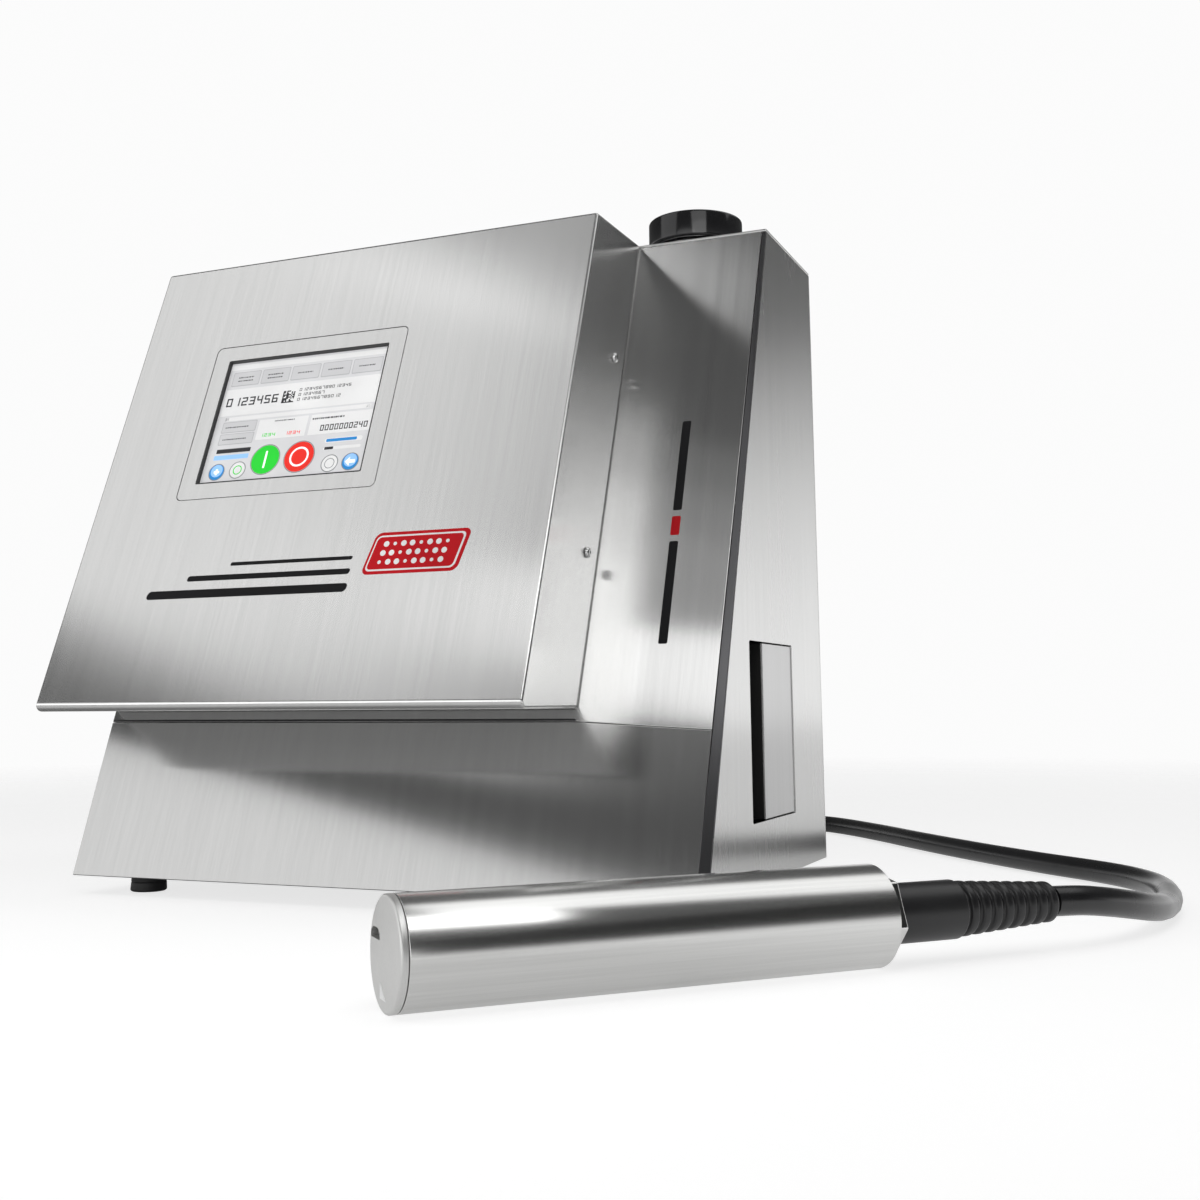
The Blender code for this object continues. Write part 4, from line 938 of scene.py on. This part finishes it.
def screen_icons():
    """The coloured bars and round buttons, with their rims and white signs."""
    blue = Ink("screen_blue", lit("lcd_blue", (0.02, 0.22, 0.55), 0.5), 2)
    blue.tile((84.9, 22.9), (105.8, 24.9), 0.6)
    blue.disc(SERVICE, 5.3)
    blue.disc(BACK, 5.4)
    blue.done()

    pale = Ink("screen_pale_blue", lit("lcd_pale_blue", (0.28, 0.52, 0.86), 0.5), 3)
    pale.tile((6.4, 16.9), (31.4, 19.9), 0.3)
    pale.disc((SERVICE[0], 9.4), 4.2)
    pale.disc((BACK[0], 9.4), 4.3)
    pale.done()

    for name, colour, centre, radius, left in (
        ("green", (0.015, 0.55, 0.03), START, 9.6, 36.2), ("red", (0.72, 0.02, 0.012), STOP, 10.0, 53.8),
    ):
        bright = Ink("screen_" + name, lit("lcd_" + name, colour, 0.55), 3)
        bright.disc(centre, radius, 72)
        bright.digits("1234", (left, 30.6), 11.5, 2.2, 0.4)
        if name == "green":
            bright.ring(NOZZLE, 3.1, 2.5)
        bright.done()

    rims = Ink("screen_rims", lit("lcd_rim", (0.3, 0.31, 0.32), 0.2), 2)
    for centre, radius in (
        (START, 10.3), (STOP, 10.7), (NOZZLE, 5.8), (PRINT, 5.8), (SERVICE, 5.7), (BACK, 5.8),
    ):
        rims.ring(centre, radius, radius - 0.6)
    rims.ring(PRINT, 3.4, 2.9)
    rims.done()

    white = Ink("screen_marks", lit("lcd_mark", grey(0.9), 0.5), 4)
    white.tiles(
        ((43.9, 8.8), (45.3, 20.4), 0.5), ((10.4, 6.6), (12.0, 10.6), 0.4), ((9.2, 7.8), (13.2, 9.4), 0.4),
        ((104.3, 7.5), (108.0, 9.7), 0.2),
    )
    white.ring(STOP, 6.6, 5.3)
    white.plate([(101.2, 8.6), (104.4, 5.6), (104.4, 11.6)])
    white.done()


# ---- printed marks, with no lettering, in millimetres from the foot of their sheet
PRINT_BLACK = moulded("print_black", black(0.01), 0.55, 900.0, 0.03, Specular_IOR_Level=0.12)
PRINT_RED = moulded("print_red", (0.5, 0.008, 0.014), 0.55, 900.0, 0.03, Specular_IOR_Level=0.12)
PRINT_WHITE = moulded("print_white", grey(0.8), 0.5, 900.0, 0.03, Specular_IOR_Level=0.2)
PRINT_THICKNESS = 0.00004
PRINT_SLANT = 0.22
LINES_RIGHT = 193.0
BADGE = ((200.5, 76.5), (259.5, 101.5))
DOTS_CORNER = (211.0, 83.6)
DOT_PITCH = 5.4
DOT_SLANT = 1.2
COLUMN_MIDDLE = 158.5
COLUMN_LINE_HALF = 2.6


def slanted(low, high, corner):
    """A rounded label outline that leans to the right as it rises."""
    return [(x + (y - low[1]) * PRINT_SLANT, y) for x, y in rounded(low, high, corner, 6)]


def print_on(name, outlines, surface, place, level=0):
    shape = bmesh.new()
    for outline in outlines:
        prism([(x * MM, y * MM) for x, y in outline], PRINT_THICKNESS,
              place @ at(0, 0, PRINT_THICKNESS * (level + 0.6)), shape)
    put(name, shape, surface)


def housing_marks():
    """Three speed lines and a red badge with rows of ink dots."""
    place = leaning_plane(HOUSING_FOOT)
    lines = [slanted((low, height), (LINES_RIGHT, height + thick), thick * 0.45)
             for low, height, thick in ((58.0, 67.0, 5.2), (84.0, 77.5, 3.4), (112.0, 86.2, 2.2))]
    print_on("housing_lines", lines, PRINT_BLACK, place)
    (left, bottom), (right, top) = BADGE
    for level, (name, inset, corner, surface) in enumerate((
        ("badge_red", 0.0, 4.0, PRINT_RED), ("badge_line", 1.9, 3.0, PRINT_WHITE),
        ("badge_inner", 2.9, 2.4, PRINT_RED),
    )):
        outline = slanted((left + inset, bottom + inset), (right - inset, top - inset), corner)
        print_on(name, [outline], surface, place, level)
    dots = []
    for row in range(3):
        for column in range(8):
            across = DOTS_CORNER[0] + DOT_PITCH * column + DOT_SLANT * row
            radius = 1.75 if (row + column) % 3 else 1.1
            dots.append(circle(radius, 12, (across, DOTS_CORNER[1] + DOT_PITCH * row)))
    print_on("badge_dots", dots, PRINT_WHITE, place, 3)


def column_marks():
    """A plain line up the column, with a red dash in it."""
    place = leaning_plane(Vector((0, CABINET_FRONT, FOOT_HEIGHT)))

    def bar(low, high):
        start, end = ((height - FOOT_HEIGHT / MM) / math.cos(LEAN) for height in (low, high))
        left, right = COLUMN_MIDDLE - COLUMN_LINE_HALF, COLUMN_MIDDLE + COLUMN_LINE_HALF
        return rounded((left, start), (right, end), 0.9, 4)

    print_on("column_line", [bar(139.0, 196.0), bar(214.0, 268.0)], PRINT_BLACK, place)
    print_on("column_dash", [bar(199.5, 210.5)], PRINT_RED, place)


display_housing()
bezel()
screen_fields()
screen_ink()
screen_icons()
housing_marks()
column_marks()


# ---- cabinet
def cabinet():
    """The sheets, in their CAD shapes. The rear panel has too many holes to soften and stays sharp."""
    fine, thin = {"edge": 0.0004}, {"edge": 0.0002}
    for node, surface, finish in (
        ("left_side_panel", PANEL_STEEL, fine), ("right_side_panel", PANEL_STEEL, fine),
        ("front_upper_sheet", FRONT_STEEL, fine), ("front_lower_sheet", FRONT_STEEL, fine),
        ("corner_trim", SHADED_TRIM_STEEL, fine), ("rear_panel", PANEL_STEEL, {"edge": 0, "smooth": 0}),
        ("top_plate", TOP_STEEL, {"grain": ACROSS, "spare": UP}), ("intake_louver", SHADED_LOUVER_STEEL, fine),
        ("housing_flange_left", PLATED, thin), ("housing_flange_right", PLATED, thin),
        ("base_tray", PLATED, {"edge": 0.0003}),
    ):
        refined(node, surface, **finish)


def link_lights():
    """Some lamps reach the upper front sheet only, and others all but that sheet, as if shaded by boards."""
    column = bpy.data.objects["front_upper_sheet_skin"]
    for names, state in ((COLUMN_ONLY, "INCLUDE"), (NEVER_COLUMN, "EXCLUDE")):
        group = bpy.data.collections.new("column_" + state.lower())
        group.objects.link(column)
        group.collection_objects[0].light_linking.link_state = state
        for name in names:
            bpy.data.objects[name].light_linking.receiver_collection = group


def knee_seal():
    """A black strip at the joint between the two front sheets, under the housing, painted in as the shadow
    gap there.
    """
    strip = block((-CABINET_HALF_WIDTH + 0.001, *KNEE_SHADOW_LOW), (HOUSING_RIGHT, *KNEE_SHADOW_HIGH),
                  leaning_plane(Vector((0, front_at(KNEE_HEIGHT), KNEE_HEIGHT))))
    put("knee_seal", strip, RUBBER, edge=0.0002, segments=2)


def intake_slot():
    """A black block painted in as the shade in the air intake's throat, in front of the louver's folded
    edge.
    """
    clear = 0.0008
    low = (CABINET_HALF_WIDTH - 0.0118, LOUVER_START - clear, LOUVER_Z[0] + clear)
    high = (CABINET_HALF_WIDTH - 0.0016, LOUVER_START - 0.0002, LOUVER_Z[1] - clear)
    put("intake_throat", block(low, high), SHADE_BLACK, slot="black_rubber")


def feet():
    """Rubber feet with a rounded foot and a moulding line round them."""
    top = FOOT_HEIGHT - GAP
    profile = [
        (0.0, top), (0.0096, top), (0.01, top - 0.0014), (0.0102, 0.0058), (0.0098, 0.0055),
        (0.0102, 0.0052), (0.0105, 0.0008), (0.0096, 0.0), (0.0062, 0.0), (0.0058, 0.0006), (0.0, 0.0006),
    ]
    for side, across in (("left", -FOOT_X), ("right", FOOT_X)):
        for row, along in FOOT_Y.items():
            foot = f"foot_{row}_{side}"
            spin(foot + "_rubber", profile, 48, at(across, along, 0), RUBBER, foot, corner=0.0004)


def screws():
    """Pan-head screws with a six-lobed recess, as on the housing's sides."""
    profile = [
        (0.0, 0.0021), (0.0017, 0.002), (0.0027, 0.0014), (0.0031, 0.0002), (0.003, 0.0), (0.0014, 0.0),
        (0.0014, -0.007), (0.0, -0.007),
    ]
    lobes = [polar(0.00105 + 0.00022 * math.cos(math.radians(60 * step)), 10 * step) for step in range(36)]
    for side in ("left", "right"):
        for label, height in SCREW_HEIGHTS.items():
            place = screw_place(side, height, GAP)
            made = spin(f"housing_screw_{side}_{label}_head", profile, 40, place, SCREW_STEEL,
                        f"housing_screw_{side}_{label}", corner=0.0003)
            cut_with(made, prism(lobes, 0.0024, place @ at(0, 0, 0.0021)))
            finish_mesh(made)


def filler():
    """Steel neck and flange, seal, and the polished black cap with its softened rim."""
    stand = at(*CAP_CENTRE, CABINET_TOP)
    neck_top = CAP_BASE + 0.0105
    flange = 0.0268
    neck = [
        (NECK_BORE, neck_top), (NECK_RADIUS, neck_top), (NECK_RADIUS, 0.0033), (flange, 0.0033),
        (flange, GAP), (NECK_RADIUS, GAP), (NECK_RADIUS, -0.028), (NECK_BORE, -0.028),
    ]
    spin("filler_neck_turned", neck, 96, stand, SCREW_STEEL, "filler_neck", corner=0.0006,
         slot="turned_steel")
    seat = neck_top + GAP
    seal = 0.0022
    ring = [(0.0195, seat + seal), (0.0245, seat + seal), (0.0245, seat), (0.0195, seat)]
    spin("cap_gasket_ring", ring, 96, stand, RUBBER, "cap_gasket", "cap_seal", 0.0006)
    top = CAP_BASE + CAP_HEIGHT
    lid = neck_top + seal + 2 * GAP
    bore = 0.0255
    cap = [
        (0.0, top - 0.0006), (0.018, top - 0.0006), (0.019, top), (CAP_RADIUS, top), (CAP_RADIUS, CAP_BASE),
        (bore, CAP_BASE), (bore, lid), (0.0, lid),
    ]
    spin("filler_cap_turned", cap, 128, stand, CAP_BLACK, "filler_cap", "cap", 0.0014, 5)


cabinet()
link_lights()
knee_seal()
intake_slot()
feet()
screws()
filler()


# ---- printhead
HEAD_PLACE = at(*HEAD_FRONT, HEAD_RADIUS) @ Matrix.Rotation(HEAD_YAW, 4, "Z") @ turned(90, "Y")
CAP_DEPTH = 0.009
CAP_RIM = 0.0032


def head_cover():
    """The brushed tube, its faced front cap with the jet slot, a black block painted in as the shade behind
    the slot, and the white mark on the cap.
    """
    wall = HEAD_RADIUS - HEAD_WALL
    tube = [(wall, HEAD_LENGTH), (HEAD_RADIUS, HEAD_LENGTH), (HEAD_RADIUS, CAP_RIM), (wall, CAP_RIM)]
    spin("head_tube_brushed", tube, 160, HEAD_PLACE, HEAD_STEEL, "head_cover_tube", "head_cover", 0.0004,
         **ALONG_HEAD)
    inner = wall - GAP
    profile = [
        (0.0, CAP_DEPTH), (inner, CAP_DEPTH), (inner, CAP_RIM - GAP), (HEAD_RADIUS, CAP_RIM - GAP),
        (HEAD_RADIUS, 0.0006), (HEAD_RADIUS - 0.0006, 0.0), (0.0, 0.0),
    ]
    cap = spin("head_cap_faced", profile, 128, HEAD_PLACE, FACED_STEEL, "head_cover_cap", "head_cover",
               0.0004, **ALONG_HEAD)
    slot = [(-0.0036, 0.007), (-0.0036, 0.019), (-0.006, 0.019), (-0.0076, 0.016), (-0.0076, 0.01),
            (-0.0062, 0.0074)]
    cut_with(cap, prism(softened(slot, 0.0008), 0.04, HEAD_PLACE))
    finish_mesh(cap, **ALONG_HEAD)
    # A black block behind the slot, painted in as its shade.
    shade_outline = [(-0.0037, 0.0071), (-0.0037, 0.0189), (-0.006, 0.0189), (-0.0075, 0.016), (-0.0075, 0.01),
              (-0.0062, 0.0075)]
    throat = prism(softened(shade_outline, 0.0008), 0.004, HEAD_PLACE @ at(0, 0, 0.005))
    put("jet_slot_depth", throat, SHADE_BLACK, body="head_cover")
    mark = [(0.0104, 0.0054), (0.016, 0.0054), (0.016, -0.0024)]
    put("head_mark", prism(mark, 0.0002, HEAD_PLACE @ at(0, 0, -0.00005)),
        moulded("mark_white", grey(0.9), 0.4, slot="ceramic"), body="head_cover")


def head_tail():
    """The flange with its flats, the plug behind it, the sleeve and the boot."""
    start = HEAD_LENGTH + GAP
    flats = circle(HEX_FLATS / math.sqrt(3), 6, start=HEX_TURN)
    shape = prism(flats, HEX_LENGTH, HEAD_PLACE @ at(0, 0, start + HEX_LENGTH / 2))
    put("head_flange_hex", shape, HEAD_STEEL, "head_rear_flange", edge=0.001, grain=UP, spare=HEAD_DIRECTION)
    inner = HEAD_RADIUS - HEAD_WALL - 0.0006
    end = HEAD_LENGTH - 0.016
    plug = [(0.0, start), (inner, start), (inner, end), (0.0, end)]
    spin("head_flange_plug", plug, 96, HEAD_PLACE, HEAD_STEEL, corner=0.0008, grain=HEAD_DIRECTION)
    base = HEAD_LENGTH + HEX_LENGTH + 2 * GAP
    tip = base + SLEEVE_LENGTH
    sleeve = [(0.0, tip), (SLEEVE_RADIUS, tip), (SLEEVE_RADIUS, base), (0.0, base)]
    spin("head_sleeve_moulded", sleeve, 72, HEAD_PLACE, SATIN_BLACK, "head_sleeve", corner=0.001, points=4)
    boot(tip + GAP)


def boot(start):
    """The strain relief: ribs that shrink towards the cord, with rounded crests."""
    ribs = 8
    groove = 0.0015
    pitch = BOOT_LENGTH / ribs
    wide = SLEEVE_RADIUS - 0.0006
    bore = CORD_RADIUS + 0.0004
    profile = [(bore, start + BOOT_LENGTH)]
    for index in reversed(range(ribs)):
        outer = wide + (BOOT_END_RADIUS - wide) * (index + 0.5) / ribs
        low = start + index * pitch
        profile += [(outer, low + pitch * 0.86), (outer, low + pitch * 0.34),
                    (outer - groove, low + pitch * 0.22), (outer - groove, low + pitch * 0.02)]
    profile += [(wide - 0.0013, start), (bore, start)]
    spin("strain_relief_ribbed", profile, 56, HEAD_PLACE, BOOT_RUBBER, "strain_relief", corner=0.0009)


head_cover()
head_tail()


# ---- rear fittings
GLAND = (-0.072, 0.036)
SOCKET = (-0.01, 0.06)


def rear_fittings():
    refined("mains_inlet", SATIN_BLACK)
    refined("switch_frame", SATIN_BLACK)
    refined("fuse_drawer", SATIN_BLACK, "fuse_holder", 0.0004)
    refined("power_rocker", CAP_BLACK, "rocker", slot="black_plastic")
    refined("fan_frame", SATIN_BLACK, edge=0.0006)
    refined("fan_rotor", SATIN_BLACK, "fan", 0.0003)
    gland()
    socket()


def facing_back(centre):
    return Matrix.Translation((centre[0], CABINET_BACK, centre[1])) @ turned(-90, "X")


def gland():
    """The gland's body and its domed nut."""
    bore = CORD_RADIUS + 0.0007
    profile = [
        (bore, 0.0235), (0.009, 0.0235), (0.0108, 0.0212), (0.0125, 0.0198), (0.0125, 0.011),
        (0.0138, 0.0105), (0.014, GAP), (0.01, GAP), (0.01, -0.012), (bore, -0.012),
    ]
    spin("umbilical_gland_moulded", profile, 64, facing_back(GLAND), SATIN_BLACK, "umbilical_gland",
         corner=0.0008)


def socket():
    """A round signal socket with a threaded rim and its contacts."""
    place = facing_back(SOCKET)
    rim = 0.006
    profile = [(0.0, 0.0), (0.0045, 0.0), (0.0045, 0.009), (rim, 0.009)]
    for thread in range(5):
        level = 0.0086 - thread * 0.0011
        profile += [(rim, level), (rim - 0.0004, level - 0.00055)]
    profile += [(rim, 0.003), (0.0092, 0.003), (0.0092, GAP), (0.007, GAP), (0.007, -0.01),
                (0.0, -0.01)]
    spin("signal_socket_turned", profile, 64, place, SCREW_STEEL, "signal_socket", slot="zinc_plate")
    shape = bmesh.new()
    for x, y in circle(0.0024, 4, start=45):
        lathe([(0.0, 0.0052), (0.0004, 0.005), (0.0005, 0.0), (0.0, 0.0)], 12, place @ at(x, y, 0), shape)
    put("signal_socket_pins", shape, BRASS)


rear_fittings()


# ---- inner pieces keep their CAD shapes
def dress(surface, *names, grain=UP):
    for name in names:
        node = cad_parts[name]
        node.data.materials.clear()
        node.data.materials.append(surface)
        grain_uv(node.data, grain, ACROSS)


dress(FILTER_FOAM, "intake_filter")
dress(PLATED, "display_panel", "power_supply")
dress(BOARD, "control_board", "main_board")
dress(TANK_PLASTIC, "ink_tank", "solvent_tank", "ink_filter")
dress(SCREW_STEEL, "valve_block", "pump_head")
dress(SATIN_BLACK, "pump_motor")
dress(BRASS, "pump_coupling")
dress(HEAD_STEEL, "head_rail", "nozzle_block", "deflection_plate_high", "deflection_plate_ground",
      "gutter_block", grain=HEAD_DIRECTION)
dress(CERAMIC, "charge_electrode")
